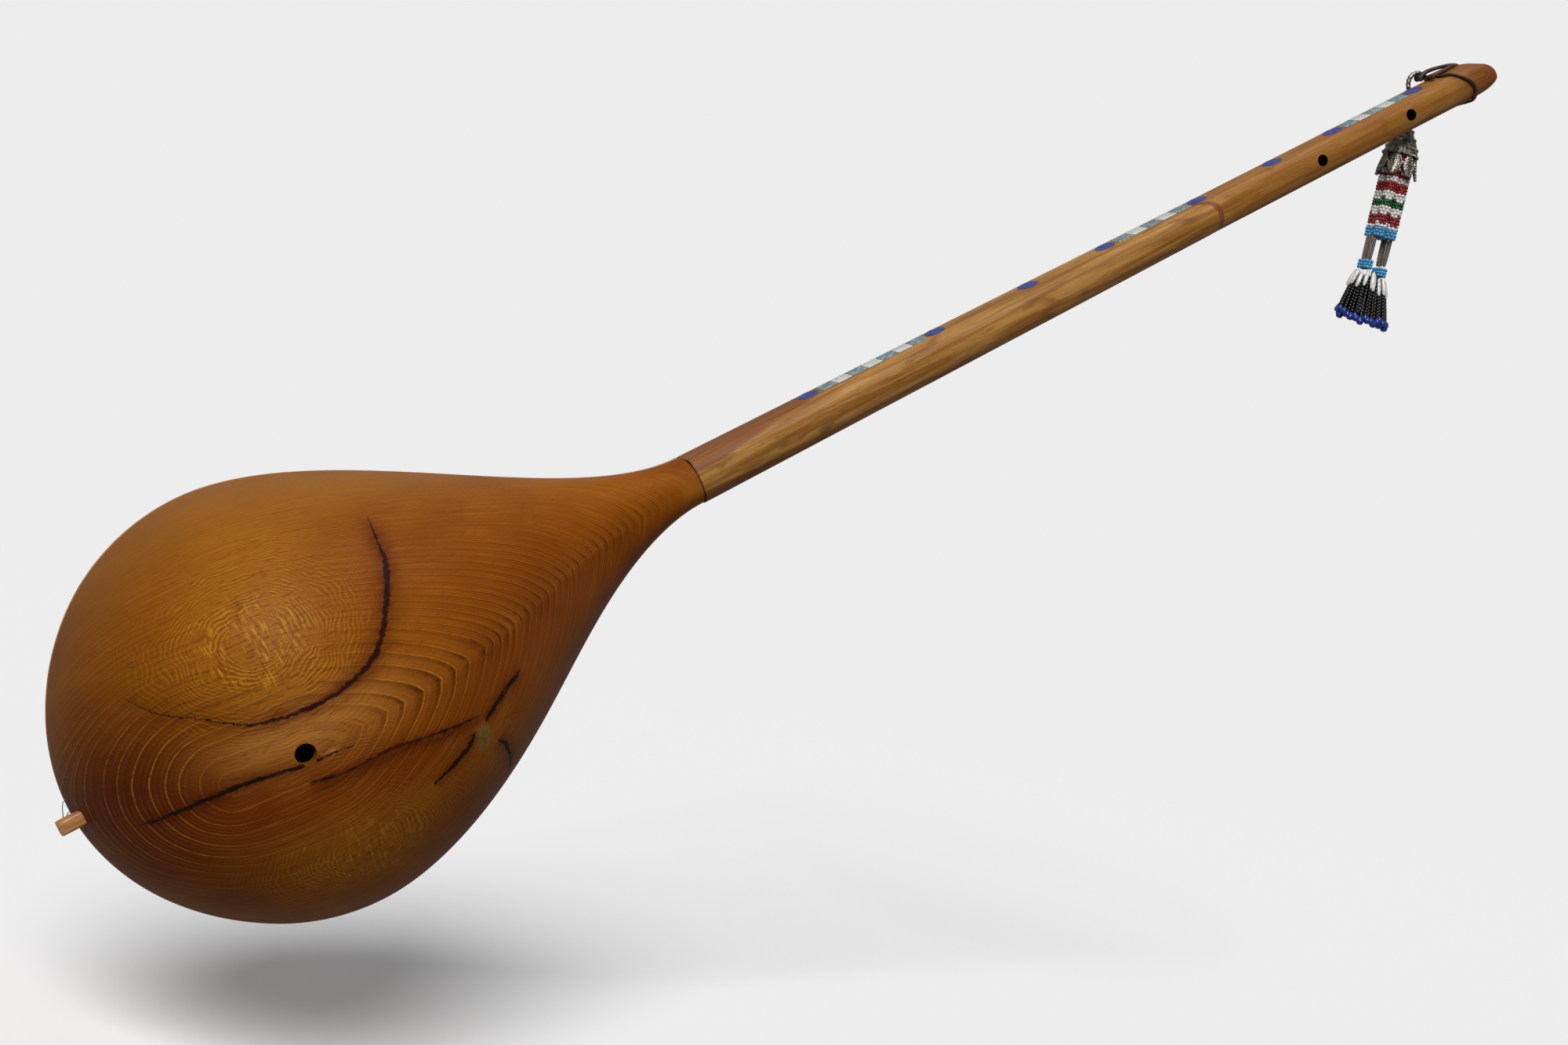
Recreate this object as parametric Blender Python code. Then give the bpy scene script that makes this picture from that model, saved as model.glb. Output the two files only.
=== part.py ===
"""Dutar: a long-necked lute with a carved bowl, two strings, flank inlays and a bead tassel.

X runs along the neck from the neck joint to the head, Y out of the soundboard and Z across the
neck. Everything hangs on one empty that raises the neck to its playing angle.
"""

import math

import bmesh
import bpy
import numpy as np
from mathutils import Matrix, Vector

# Driving dimensions, in metres and radians.
NECK_RAISE = math.radians(36)
FIT = 0.0003  # gap between two pieces that touch

BOWL_LENGTH = 0.360
BOWL_WIDTH = 0.2226
BOWL_DEPTH = 0.138
BOWL_WIDEST_AT = 0.111  # from the tail
BOWL_DEEPEST_AT = 0.1166  # from the tail
BOWL_WALL = 0.0055
BOWL_SQUARENESS = 2.37  # exponent of the section, 2 is an ellipse
TAIL_LEAN_ALONG = 0.0025  # the carved tail runs out past an even outline
TAIL_LEAN_ACROSS = 0.0040  # and towards the lower side
TAIL_LEAN_FROM = 0.055  # from the tail
HEEL_LENGTH = 0.070  # solid wood between the cavity and the neck joint
BACK_HOLE_RADIUS = 0.0050
BACK_HOLE_AT = 0.0943  # from the tail

SOUNDBOARD_THICKNESS = 0.003
SOUND_HOLE_RADIUS = 0.0026
SOUND_HOLE_RING = 0.011
SOUND_HOLE_AT = 0.215  # from the tail

NECK_LENGTH = 0.350  # joint to nut
NECK_WIDTH_JOINT = 0.0270
NECK_WIDTH_NUT = 0.0212
NECK_DEPTH_JOINT = 0.0215
NECK_DEPTH_NUT = 0.0208
FLANK_HEIGHT = 0.0128
FLANK_LEAN = math.radians(4)
SHOULDER_LENGTH = 0.007
TENON_LENGTH = 0.045
TENON_WIDTH = 0.013
TENON_DEPTH = 0.009
TENON_DROP = 0.006  # front face to tenon

HEAD_LENGTH = 0.215  # nut to tip
HEAD_WIDTH_TIP = 0.0202
HEAD_DEPTH = 0.0182
HEAD_DOME = 0.022
TIP_DROP = 0.0042  # tip below the neck's middle line, so that the head ends like a thumb

MARKER_RADIUS = 0.0060
MARKER_SHARES_NECK = (0.231, 0.469, 0.649, 0.803, 0.990)
MARKER_SHARES_HEAD = (0.240, 0.450, 0.735)
MOSAIC_BETWEEN = ((0, 1), (3, 4), (6, 7))  # pairs of markers with a strip between them
MOSAIC_HEIGHT = 0.0105
INLAY_THICKNESS = 0.0014

FRET_COUNT = 13
FRET_WIDTH = 0.0012
FRET_RISE = 0.0009
FRET_SEAT = 0.0010
FRET_MARGIN = 0.0030  # fret end to the neck's edge
SEMITONE = 2 ** (1 / 12)

NUT_THICKNESS = 0.0040
NUT_RISE = 0.0040
NUT_SEAT = 0.0012
NUT_MARGIN = 0.0028

BRIDGE_AT = 0.095  # from the tail
BRIDGE_HEIGHT = 0.0120
BRIDGE_FOOT_WIDTH = 0.036
BRIDGE_TOP_WIDTH = 0.018
BRIDGE_THICKNESS = 0.0050

TAIL_PIN_RADIUS = 0.0040
TAIL_PIN_DEPTH = 0.0260  # below the front plane
TAIL_PIN_ACROSS = 0.0055  # to the lower side
TAIL_PIN_REACH = 0.0100  # beyond the tail
TAIL_PIN_HIDDEN = 0.0120  # length past the tail, inside

STRING_RADIUS = 0.00025
STRING_SPREAD_BRIDGE = 0.0120
STRING_SPREAD_NUT = 0.0110
STRING_SPREAD_TAIL = 0.0060
STRING_TAIL_GAP = 0.0026  # string to the tail, part of the way down to the pin

PEG_FROM_TIP = 0.0712
PEG_SPACING = 0.0670
PEG_HOLE_RADIUS = 0.0033
PEG_SEAT = 0.0120  # length of the shaft in the head
PEG_NECK = 0.0098  # front face to handle
PEG_HANDLE_LENGTH = 0.020
PEG_HANDLE_WIDTH = 0.0072
PEG_HANDLE_HEIGHT = 0.0120
WINDING_THICKNESS = 0.0007
WINDING_HEIGHT = 0.0030
WINDING_RISE = 0.0015

THONG_RADIUS = 0.0014
THONG_FROM_TIP_FRONT = 0.0360
THONG_FROM_TIP_UPPER = 0.0365
THONG_FROM_TIP_BACK = 0.0255
THONG_FROM_TIP_LOWER = 0.0315
THONG_STAND_OFF = 0.0019  # thong's middle line from the head's surface
TOGGLE_RADIUS = 0.0013
TOGGLE_BEHIND = 0.0090  # length along the flank, behind the front plane
TOGGLE_AHEAD = 0.0090

TASSEL_AHEAD = 0.0060  # tassel's middle in front of the front plane
TASSEL_LEAN = math.radians(3.3)  # off plumb, towards the bowl
TASSEL_RING_RADIUS = 0.0065
TASSEL_RING_WIRE = 0.0010
TASSEL_CORD_RADIUS = 0.0011
CAP_TOP_RADIUS = 0.0036
CAP_RADIUS = 0.0125
CAP_HEIGHT = 0.0298
CAP_WALL = 0.0010
CAP_CLEARANCE = 0.0015  # cap to the head's lower edge
ROPE_RADIUS = 0.0038
ROPE_START = 0.827  # share of the cap's height
ROPE_LENGTH = 0.0732
FRINGE_TOP_RADIUS = 0.0095
FRINGE_RADIUS = 0.0160
FRINGE_HEIGHT = 0.0215

ROUND = 0.5523  # handle length of a Bezier quarter circle
TAIL_CROWDING = 1.6  # power that draws the sections together at the round tail
WIDTH_SHOULDER, WIDTH_THROAT = 0.31, 0.27  # handles of the outline towards the neck
DEPTH_SHOULDER, DEPTH_THROAT = 0.48, 0.42  # handles of the keel line towards the neck

# Sizes that follow from these.
RIM = -SOUNDBOARD_THICKNESS - FIT
TIP = NECK_LENGTH + HEAD_LENGTH
BRIDGE_X = BRIDGE_AT - BOWL_LENGTH
TAIL_X = -BOWL_LENGTH - TAIL_LEAN_ALONG
SCALE_LENGTH = NECK_LENGTH - BRIDGE_X
PEG_RADIUS = PEG_HOLE_RADIUS - FIT
PEG_PLACES = (TIP - PEG_FROM_TIP - PEG_SPACING, TIP - PEG_FROM_TIP)
WINDING_INNER = PEG_RADIUS + FIT
WINDING_OUTER = WINDING_INNER + WINDING_THICKNESS


def clear_scene():
    for old in list(bpy.data.objects):
        bpy.data.objects.remove(old, do_unlink=True)


def material(name, colour, roughness, metallic=0.0):
    made = bpy.data.materials.new(name)
    made.use_nodes = True
    shader = made.node_tree.nodes["Principled BSDF"]
    shader.inputs["Base Color"].default_value = (*colour, 1.0)
    shader.inputs["Roughness"].default_value = roughness
    shader.inputs["Metallic"].default_value = metallic
    return made


def empty(name, place, parent=None, turn=(0, 0, 0)):
    made = bpy.data.objects.new(name, None)
    made.location = place
    made.rotation_euler = turn
    made.parent = parent
    bpy.context.scene.collection.objects.link(made)
    return made


def add(name, data, parent, look):
    made = bpy.data.objects.new(name, data)
    made.parent = parent
    data.materials.append(look)
    bpy.context.scene.collection.objects.link(made)
    return made


def mesh_from(bm, name):
    bmesh.ops.recalc_face_normals(bm, faces=bm.faces)
    data = bpy.data.meshes.new(name)
    bm.to_mesh(data)
    bm.free()
    data.shade_smooth()
    data.set_sharp_from_angle(angle=math.radians(35))
    return data


def loft(name, rings, first_pole=None, last_pole=None, closed=False):
    """Skin over closed rings of points, with a cap or a pole at each end, or closed on itself."""
    bm = bmesh.new()
    loops = [[bm.verts.new(point) for point in ring] for ring in rings]
    count = len(rings[0])
    pairs = list(zip(loops, loops[1:]))
    if closed:
        pairs.append((loops[-1], loops[0]))
    for near, far in pairs:
        for i in range(count):
            j = (i + 1) % count
            bm.faces.new((near[i], near[j], far[j], far[i]))
    for loop, pole in ((loops[0], first_pole), (loops[-1], last_pole)):
        if closed:
            continue
        if pole is None:
            bm.faces.new(loop)
            continue
        top = bm.verts.new(pole)
        for i in range(count):
            bm.faces.new((loop[i], loop[(i + 1) % count], top))
    return mesh_from(bm, name)


def circle(radius, height, sides):
    angles = [2 * math.pi * i / sides for i in range(sides)]
    return [Vector((radius * math.cos(a), radius * math.sin(a), height)) for a in angles]


def turned(name, profile, sides, place=Matrix()):
    """Solid of revolution about Z from (radius, height) pairs; a radius of 0 makes a pole."""
    inner = [pair for pair in profile if pair[0] > 0]
    poles = []
    for radius, height in (profile[0], profile[-1]):
        poles.append(place @ Vector((0, 0, height)) if radius == 0 else None)
    rings = [[place @ point for point in circle(radius, height, sides)] for radius, height in inner]
    return loft(name, rings, *poles)


def box(name, low, high, place=Matrix()):
    rings = []
    for x in (low[0], high[0]):
        corners = ((low[1], low[2]), (high[1], low[2]), (high[1], high[2]), (low[1], high[2]))
        rings.append([place @ Vector((x, y, z)) for y, z in corners])
    return loft(name, rings)


def extruded(name, outline, low, high, place=Matrix()):
    """Prism over an outline in the XY plane, between two heights."""
    rings = [[place @ Vector((x, y, height)) for x, y in outline] for height in (low, high)]
    return loft(name, rings)


def joined(name, meshes):
    """One mesh from several separate ones, for use as a cutter."""
    bm = bmesh.new()
    for data in meshes:
        bm.from_mesh(data)
    result = bpy.data.meshes.new(name)
    bm.to_mesh(result)
    bm.free()
    return result


def boolean(target, data, operation):
    """Joins a shape to the target or cuts it away, with the helper kept out of the render."""
    helper = bpy.data.objects.new(f"{target.name}_{operation.lower()}", data)
    helper.parent = target.parent
    helper.hide_render = True
    helper.display_type = "WIRE"
    bpy.context.scene.collection.objects.link(helper)
    modifier = target.modifiers.new(operation.title(), "BOOLEAN")
    modifier.operation = operation
    modifier.solver = "EXACT"
    modifier.object = helper


def tube(name, points, radius, parent, look, cyclic=False):
    data = bpy.data.curves.new(name, "CURVE")
    data.dimensions = "3D"
    data.bevel_depth = radius
    data.bevel_resolution = 2
    data.use_fill_caps = True
    spline = data.splines.new("POLY")
    spline.points.add(len(points) - 1)
    for target, point in zip(spline.points, points):
        target.co = (*point, 1)
    spline.use_cyclic_u = cyclic
    return add(name, data, parent, look)


def along_y(x, z=0.0):
    """Places a shape turned about Z so that its axis runs along +Y at (x, z)."""
    return Matrix.Translation((x, 0, z)) @ Matrix.Rotation(-math.pi / 2, 4, "X")


def along_x(y, z=0.0):
    """Places a shape turned about Z so that its axis runs along +X at (y, z)."""
    return Matrix.Translation((0, y, z)) @ Matrix.Rotation(math.pi / 2, 4, "Y")


def bezier(start, leave, arrive, end, steps=48):
    t = np.linspace(0, 1, steps)[:, None]
    start, leave, arrive, end = (np.array(point) for point in (start, leave, arrive, end))
    early = (1 - t) ** 3 * start + 3 * (1 - t) ** 2 * t * leave
    return early + 3 * (1 - t) * t**2 * arrive + t**3 * end


def belly(start, peak_at, peak, end, shoulder, throat):
    """Curve that swells from a round tail to its peak and narrows to the neck."""
    run = peak_at - start
    reach = BOWL_LENGTH - peak_at
    tail = bezier((start, 0), (start, ROUND * peak), (peak_at - ROUND * run, peak), (peak_at, peak))
    leave = (peak_at + shoulder * reach, peak)
    arrive = (BOWL_LENGTH - throat * reach, end)
    narrowing = bezier((peak_at, peak), leave, arrive, (BOWL_LENGTH, end))
    curve = np.vstack([tail, narrowing[1:]])
    return curve[:, 0], curve[:, 1]


def outline_curve(inset=0.0):
    end = NECK_WIDTH_JOINT / 2 - inset
    return belly(inset, BOWL_WIDEST_AT, BOWL_WIDTH / 2 - inset, end, WIDTH_SHOULDER, WIDTH_THROAT)


def keel_curve(inset=0.0):
    end = NECK_DEPTH_JOINT - inset
    return belly(inset, BOWL_DEEPEST_AT, BOWL_DEPTH - inset, end, DEPTH_SHOULDER, DEPTH_THROAT)


def tail_lean(x):
    """How far a place near the tail leans out of line, along the bowl and across it."""
    share = np.clip(1 - (x + BOWL_LENGTH) / TAIL_LEAN_FROM, 0, 1) ** 2
    return -share * TAIL_LEAN_ALONG, -share * TAIL_LEAN_ACROSS


def bowl_mesh(name, inset, stop, lift=0.0, stations=26, sides=24):
    """Closed half-round body: the bowl's outside, or its cavity drawn in by the wall."""
    widths = outline_curve(inset)
    depths = keel_curve(inset)
    power = 2 / BOWL_SQUARENESS
    angles = np.linspace(0, math.pi, sides + 1)
    across = np.sign(np.cos(angles)) * np.abs(np.cos(angles)) ** power
    back = np.abs(np.sin(angles)) ** power
    rings = []
    for share in np.linspace(0, 1, stations + 1)[1:] ** TAIL_CROWDING:
        station = inset + (stop - inset) * share
        half_width = np.interp(station, *widths)
        depth = np.interp(station, *depths) + RIM
        along, aside = tail_lean(station - BOWL_LENGTH)
        x = station - BOWL_LENGTH + along
        ring = [(x, RIM - depth * b, half_width * a + aside) for a, b in zip(across, back)]
        if lift:
            ring.insert(0, (x, RIM + lift, half_width + aside))
            ring.append((x, RIM + lift, -half_width + aside))
        rings.append(ring)
    if lift:
        return loft(name, rings)
    return loft(name, rings, first_pole=(TAIL_X, RIM, -TAIL_LEAN_ACROSS))


def make_bowl(parent, look):
    """Bowl carved from one block, hollowed from the front, with a solid heel for the neck's tenon."""
    made = add("bowl", bowl_mesh("bowl", 0.0, BOWL_LENGTH), parent, look)
    cavity = bowl_mesh("cavity", BOWL_WALL, BOWL_LENGTH - HEEL_LENGTH, lift=BOWL_WALL)
    boolean(made, cavity, "DIFFERENCE")
    hole = along_y(BACK_HOLE_AT - BOWL_LENGTH)
    reach = -BOWL_DEPTH - BOWL_WALL
    low_edge = -BOWL_DEPTH / 2
    back_hole = extruded("back_hole", ring_outline(BACK_HOLE_RADIUS, 20), reach, low_edge, hole)
    pin_hole = extruded(
        "pin_hole",
        ring_outline(TAIL_PIN_RADIUS + FIT, 16),
        TAIL_X - TAIL_PIN_REACH,
        TAIL_X + TAIL_PIN_HIDDEN + BOWL_WALL,
        along_x(-TAIL_PIN_DEPTH, -TAIL_PIN_ACROSS),
    )
    socket = tenon_mesh("socket", FIT, BOWL_WALL)
    boolean(made, joined("bowl_cuts", [back_hole, pin_hole, socket]), "DIFFERENCE")


def ring_outline(radius, sides):
    return [(point.x, point.y) for point in circle(radius, 0, sides)]


def make_soundboard(parent, look):
    stations, half_widths = outline_curve()
    shares = np.linspace(0, 1, 34)[1:] ** TAIL_CROWDING
    x = shares * (BOWL_LENGTH - FIT)
    half = np.interp(x, stations, half_widths)
    along, aside = tail_lean(x - BOWL_LENGTH)
    stretched = x - BOWL_LENGTH + along
    upper = list(zip(stretched, aside + half))
    lower = list(zip(stretched, aside - half))[::-1]
    outline = [(TAIL_X, -TAIL_LEAN_ACROSS), *upper, *lower]
    flat = Matrix.Rotation(math.pi / 2, 4, "X")
    data = extruded("soundboard", outline, 0.0, SOUNDBOARD_THICKNESS, flat)
    made = add("soundboard", data, parent, look)
    middle = SOUND_HOLE_AT - BOWL_LENGTH
    places = [(middle, 0.0)]
    for quarter in range(4):
        angle = quarter * math.pi / 2
        offset = (SOUND_HOLE_RING * math.cos(angle), SOUND_HOLE_RING * math.sin(angle))
        places.append((middle + offset[0], offset[1]))
    outline = ring_outline(SOUND_HOLE_RADIUS, 12)
    low = -2 * SOUNDBOARD_THICKNESS
    cutters = [extruded("hole", outline, low, -low, along_y(px, pz)) for px, pz in places]
    boolean(made, joined("sound_holes", cutters), "DIFFERENCE")


def half_width_at(x):
    """Half the width of the neck's front face, tapering to the nut and on to the tip."""
    ends = (NECK_WIDTH_JOINT / 2, NECK_WIDTH_NUT / 2, HEAD_WIDTH_TIP / 2)
    return float(np.interp(x, (0, NECK_LENGTH, TIP), ends))


def depth_at(x):
    """Thickness of the neck, with a short shoulder down to the head behind the nut."""
    places = (0, NECK_LENGTH - SHOULDER_LENGTH, NECK_LENGTH)
    return float(np.interp(x, places, (NECK_DEPTH_JOINT, NECK_DEPTH_NUT, HEAD_DEPTH)))


def neck_section(x, shrink=1.0, arc_sides=12):
    """Flat front, leaning flanks and a round back, drawn in about its middle by shrink."""
    half = half_width_at(x)
    depth = depth_at(x)
    waist = half - FLANK_HEIGHT * math.tan(FLANK_LEAN)
    outline = [(0.0, half)]
    for step in range(arc_sides + 1):
        angle = math.pi * step / arc_sides
        back = FLANK_HEIGHT + (depth - FLANK_HEIGHT) * math.sin(angle)
        outline.append((-back, waist * math.cos(angle)))
    outline.append((0.0, -half))
    middle = -depth / 2
    drop = -TIP_DROP
    return [(x, middle + (y - middle) * shrink, drop + (z - drop) * shrink) for y, z in outline]


def tenon_mesh(name, slack, reach):
    """The tongue at the neck's foot; slack and reach make the socket that takes it."""
    low = (-TENON_LENGTH - slack, -TENON_DROP - TENON_DEPTH - slack, -TENON_WIDTH / 2 - slack)
    high = (reach, -TENON_DROP + slack, TENON_WIDTH / 2 + slack)
    return box(name, low, high)


def marker_places():
    on_neck = [share * NECK_LENGTH for share in MARKER_SHARES_NECK]
    on_head = [NECK_LENGTH + share * HEAD_LENGTH for share in MARKER_SHARES_HEAD]
    return on_neck + on_head


def flank_place(x, side):
    """Frame on a flank's middle line: along the neck, across the flank, and outwards."""
    slope = (half_width_at(x + FIT) - half_width_at(x - FIT)) / (2 * FIT)
    lean = math.tan(FLANK_LEAN)
    tangent = Vector((1, 0, side * slope)).normalized()
    across = Vector((0, side, lean)).normalized()
    outward = tangent.cross(across)
    middle = FLANK_HEIGHT / 2
    place = Matrix((tangent, across, outward)).transposed().to_4x4()
    place.translation = (x, -middle, side * (half_width_at(x) - middle * lean))
    return place


def marker_mesh(x, side, slack, rise):
    outline = ring_outline(MARKER_RADIUS + slack, 20)
    return extruded("marker", outline, -INLAY_THICKNESS - slack, rise, flank_place(x, side))


def mosaic_mesh(first, second, side, slack, rise):
    half_length = (second - first) / 2 - MARKER_RADIUS - 3 * FIT + slack
    half_height = MOSAIC_HEIGHT / 2 + slack
    place = flank_place((first + second) / 2, side)
    low = (-half_length, -half_height, -INLAY_THICKNESS - slack)
    return box("mosaic", low, (half_length, half_height, rise), place)


def flank_pockets():
    """Cutters for every inlay, a fit larger than the inlay and open to the outside."""
    places = marker_places()
    cutters = []
    for side in (1, -1):
        cutters += [marker_mesh(x, side, FIT, INLAY_THICKNESS) for x in places]
        for first, second in MOSAIC_BETWEEN:
            cutters.append(mosaic_mesh(places[first], places[second], side, FIT, INLAY_THICKNESS))
    return cutters


def fret_places():
    return [NECK_LENGTH - SCALE_LENGTH * (1 - SEMITONE**-step) for step in range(1, FRET_COUNT + 1)]


def fret_mesh(x, slack, rise):
    reach = half_width_at(x) - FRET_MARGIN + slack
    half = FRET_WIDTH / 2 + slack
    return box("fret", (x - half, -FRET_SEAT - slack, -reach), (x + half, rise, reach))


def nut_mesh(slack, rise):
    reach = half_width_at(NECK_LENGTH) - NUT_MARGIN + slack
    half = NUT_THICKNESS / 2 + slack
    low = (NECK_LENGTH - half, -NUT_SEAT - slack, -reach)
    return box("nut", low, (NECK_LENGTH + half, rise, reach))


def make_neck(parent, look):
    """Neck, head and tenon in one, with seats for the nut, frets, pegs and inlays."""
    stations = [FIT, NECK_LENGTH * 0.5, NECK_LENGTH - SHOULDER_LENGTH, NECK_LENGTH]
    rings = [neck_section(x) for x in stations]
    dome_start = TIP - HEAD_DOME
    for share in np.sin(np.linspace(0, math.pi / 2, 7))[:-1]:
        rings.append(neck_section(dome_start + share * HEAD_DOME, math.sqrt(1 - share**2)))
    tip = (TIP, -HEAD_DEPTH / 2, -TIP_DROP)
    made = add("neck", loft("neck", rings, last_pole=tip), parent, look)
    boolean(made, tenon_mesh("tenon", 0.0, TENON_WIDTH), "UNION")
    outline = ring_outline(PEG_HOLE_RADIUS, 20)
    reach = 2 * HEAD_DEPTH
    cutters = [extruded("peg_hole", outline, -reach, reach, along_y(x)) for x in PEG_PLACES]
    cutters += [fret_mesh(x, FIT, FRET_RISE) for x in fret_places()]
    cutters.append(nut_mesh(FIT, NUT_RISE))
    cutters += flank_pockets()
    boolean(made, joined("neck_cuts", cutters), "DIFFERENCE")


def make_front_fittings(parent, looks):
    add("nut", nut_mesh(0.0, NUT_RISE), parent, looks["peg"])
    for number, x in enumerate(fret_places(), 1):
        add(f"fret_{number:02d}", fret_mesh(x, 0.0, FRET_RISE), parent, looks["steel"])


def make_inlays(parent, looks):
    places = marker_places()
    for label, side in (("upper", 1), ("lower", -1)):
        for number, x in enumerate(places, 1):
            add(f"marker_{label}_{number}", marker_mesh(x, side, 0.0, 0.0), parent, looks["blue"])
        for number, (first, second) in enumerate(MOSAIC_BETWEEN, 1):
            data = mosaic_mesh(places[first], places[second], side, 0.0, 0.0)
            add(f"mosaic_{label}_{number}", data, parent, looks["pearl"])


def make_bridge(parent, look):
    """Low arch standing on the soundboard, its top line carrying the strings."""
    foot = BRIDGE_FOOT_WIDTH / 2
    top = BRIDGE_TOP_WIDTH / 2
    waist = (foot + top) / 2
    arch = BRIDGE_HEIGHT * 0.4
    right = [(foot, FIT), (waist, BRIDGE_HEIGHT * 0.6), (top, BRIDGE_HEIGHT)]
    under = [(-top * 0.6, arch), (top * 0.6, arch), (top, FIT)]
    left = [(-z, y) for z, y in reversed(right)]
    outline = [*right, *left, (-top, FIT), *under]
    upright = Matrix.Translation((BRIDGE_X, 0, 0)) @ Matrix.Rotation(math.pi / 2, 4, "Y")
    half = BRIDGE_THICKNESS / 2
    add("bridge", extruded("bridge", outline, -half, half, upright), parent, look)


def make_tail_pin(parent, look):
    edge = TAIL_PIN_RADIUS * 0.15
    outer = TAIL_X - TAIL_PIN_REACH
    inner = TAIL_X + TAIL_PIN_HIDDEN
    profile = [(TAIL_PIN_RADIUS - edge, outer), (TAIL_PIN_RADIUS, outer + edge), (TAIL_PIN_RADIUS, inner)]
    place = along_x(-TAIL_PIN_DEPTH, -TAIL_PIN_ACROSS)
    add("tail_pin", turned("tail_pin", profile, 16, place), parent, look)


def make_strings(parent, look):
    """Each string from the tail pin over the bridge and nut to the turns on its peg."""
    clear = STRING_RADIUS + FIT
    pin_top = -TAIL_PIN_DEPTH + TAIL_PIN_RADIUS + clear
    winding_middle = WINDING_RISE + WINDING_HEIGHT / 2
    for number, (side, peg) in enumerate(zip((1, -1), PEG_PLACES), 1):
        points = [
            (TAIL_X - TAIL_PIN_REACH * 0.6, pin_top, side * STRING_SPREAD_TAIL * 0.2 - TAIL_PIN_ACROSS),
            (TAIL_X - STRING_TAIL_GAP, -TAIL_PIN_DEPTH / 4, side * STRING_SPREAD_TAIL * 0.4 - TAIL_LEAN_ACROSS),
            (TAIL_X - 2 * FIT, clear + FIT, side * STRING_SPREAD_TAIL * 0.5 - TAIL_LEAN_ACROSS),
            (BRIDGE_X, BRIDGE_HEIGHT + clear, side * STRING_SPREAD_BRIDGE / 2),
            (NECK_LENGTH, NUT_RISE + clear, side * STRING_SPREAD_NUT / 2),
            (peg, winding_middle, side * (WINDING_OUTER + clear)),
        ]
        tube(f"string_{number}", points, STRING_RADIUS, parent, look)


def peg_mesh():
    """Tapered shaft about the peg's own axis, from its end in the head up into the handle."""
    top = PEG_NECK + PEG_HANDLE_HEIGHT / 2
    edge = PEG_RADIUS * 0.2
    profile = [(PEG_RADIUS - edge, -PEG_SEAT), (PEG_RADIUS, edge - PEG_SEAT), (PEG_RADIUS, top)]
    return turned("peg", profile, 16, along_y(0))


def handle_mesh():
    """Cross handle along the neck, thicker in the middle and rounded at its ends."""
    rings = []
    middle = PEG_NECK + PEG_HANDLE_HEIGHT / 2
    for share in (-1.0, -0.94, -0.8, -0.45, 0.0, 0.45, 0.8, 0.94, 1.0):
        swell = math.sqrt(max(1 - share**4 * 0.86, 0))
        rise = PEG_HANDLE_HEIGHT / 2 * swell
        half = PEG_HANDLE_WIDTH / 2 * swell
        x = PEG_HANDLE_LENGTH / 2 * share
        angles = [2 * math.pi * i / 12 for i in range(12)]
        rings.append([(x, middle + rise * math.sin(a), half * math.cos(a)) for a in angles])
    return loft("handle", rings)


def winding_mesh():
    """Band of string round the peg's shaft, square in section."""
    high = WINDING_RISE + WINDING_HEIGHT
    inner = ((WINDING_INNER, high), (WINDING_INNER, WINDING_RISE))
    outer = ((WINDING_OUTER, WINDING_RISE), (WINDING_OUTER, high))
    rings = []
    for radius, height in (*inner, *outer):
        rings.append([along_y(0) @ point for point in circle(radius, height, 20)])
    return loft("winding", rings, closed=True)


def make_pegs(parent, looks):
    """Two pegs from the front, each with the turns of its string, on an empty at its axis."""
    for number, x in enumerate(PEG_PLACES, 1):
        axis = empty(f"peg_{number}_axis", (x, 0, 0), parent)
        made = add(f"peg_{number}", peg_mesh(), axis, looks["peg"])
        boolean(made, handle_mesh(), "UNION")
        add(f"winding_{number}", winding_mesh(), axis, looks["steel"])


def thong_from_tip(angle):
    """Distance from the tip round the head: 0 is the front, a quarter turn the upper flank."""
    front, upper = THONG_FROM_TIP_FRONT, THONG_FROM_TIP_UPPER
    back, lower = THONG_FROM_TIP_BACK, THONG_FROM_TIP_LOWER
    mean = (front + upper + back + lower) / 4
    slant = (front - back) / 2 * math.cos(angle) + (upper - lower) / 2 * math.sin(angle)
    return mean + slant + (front + back - upper - lower) / 4 * math.cos(2 * angle)


def head_reach(x, ahead, up):
    """Distance from the head's middle line to a line standing off its surface, in one direction."""
    outline = np.array(neck_section(x))[:, 1:] + (HEAD_DEPTH / 2, 0)
    edges = np.roll(outline, -1, axis=0) - outline
    outward = np.stack([edges[:, 1], -edges[:, 0]], axis=1) / np.linalg.norm(edges, axis=1)[:, None]
    offsets = np.sum(outward * outline, axis=1) + THONG_STAND_OFF
    facing = np.maximum(outward @ (ahead, up), FIT)
    return float(np.min(offsets / facing))


def thong_points(count=44):
    """Slanting closed loop round the head, standing a little off its surface."""
    points = []
    for step in range(count):
        angle = 2 * math.pi * step / count
        x = TIP - thong_from_tip(angle)
        ahead, up = math.cos(angle), math.sin(angle)
        reach = head_reach(x, ahead, up)
        points.append((x, reach * ahead - HEAD_DEPTH / 2, reach * up))
    return points


def toggle_place():
    """Middle line of the toggle: on the upper flank, just below the thong's highest crossing."""
    crossings = [thong_from_tip(math.pi * step / 40) for step in range(41)]
    x = TIP - max(crossings) - THONG_RADIUS - TOGGLE_RADIUS - 2 * FIT
    return x, half_width_at(x) + TOGGLE_RADIUS + FIT


def make_thong(parent, look):
    tube("thong", thong_points(), THONG_RADIUS, parent, look, cyclic=True)
    x, z = toggle_place()
    bead = TOGGLE_RADIUS * 1.6
    profile = [
        (TOGGLE_RADIUS * 0.7, -TOGGLE_BEHIND),
        (TOGGLE_RADIUS, -TOGGLE_BEHIND + TOGGLE_RADIUS * 0.4),
        (TOGGLE_RADIUS, TOGGLE_AHEAD - bead),
        (bead, TOGGLE_AHEAD - bead * 0.6),
        (bead * 0.8, TOGGLE_AHEAD),
    ]
    add("thong_toggle", turned("toggle", profile, 12, along_y(x, z)), parent, look)


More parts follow.
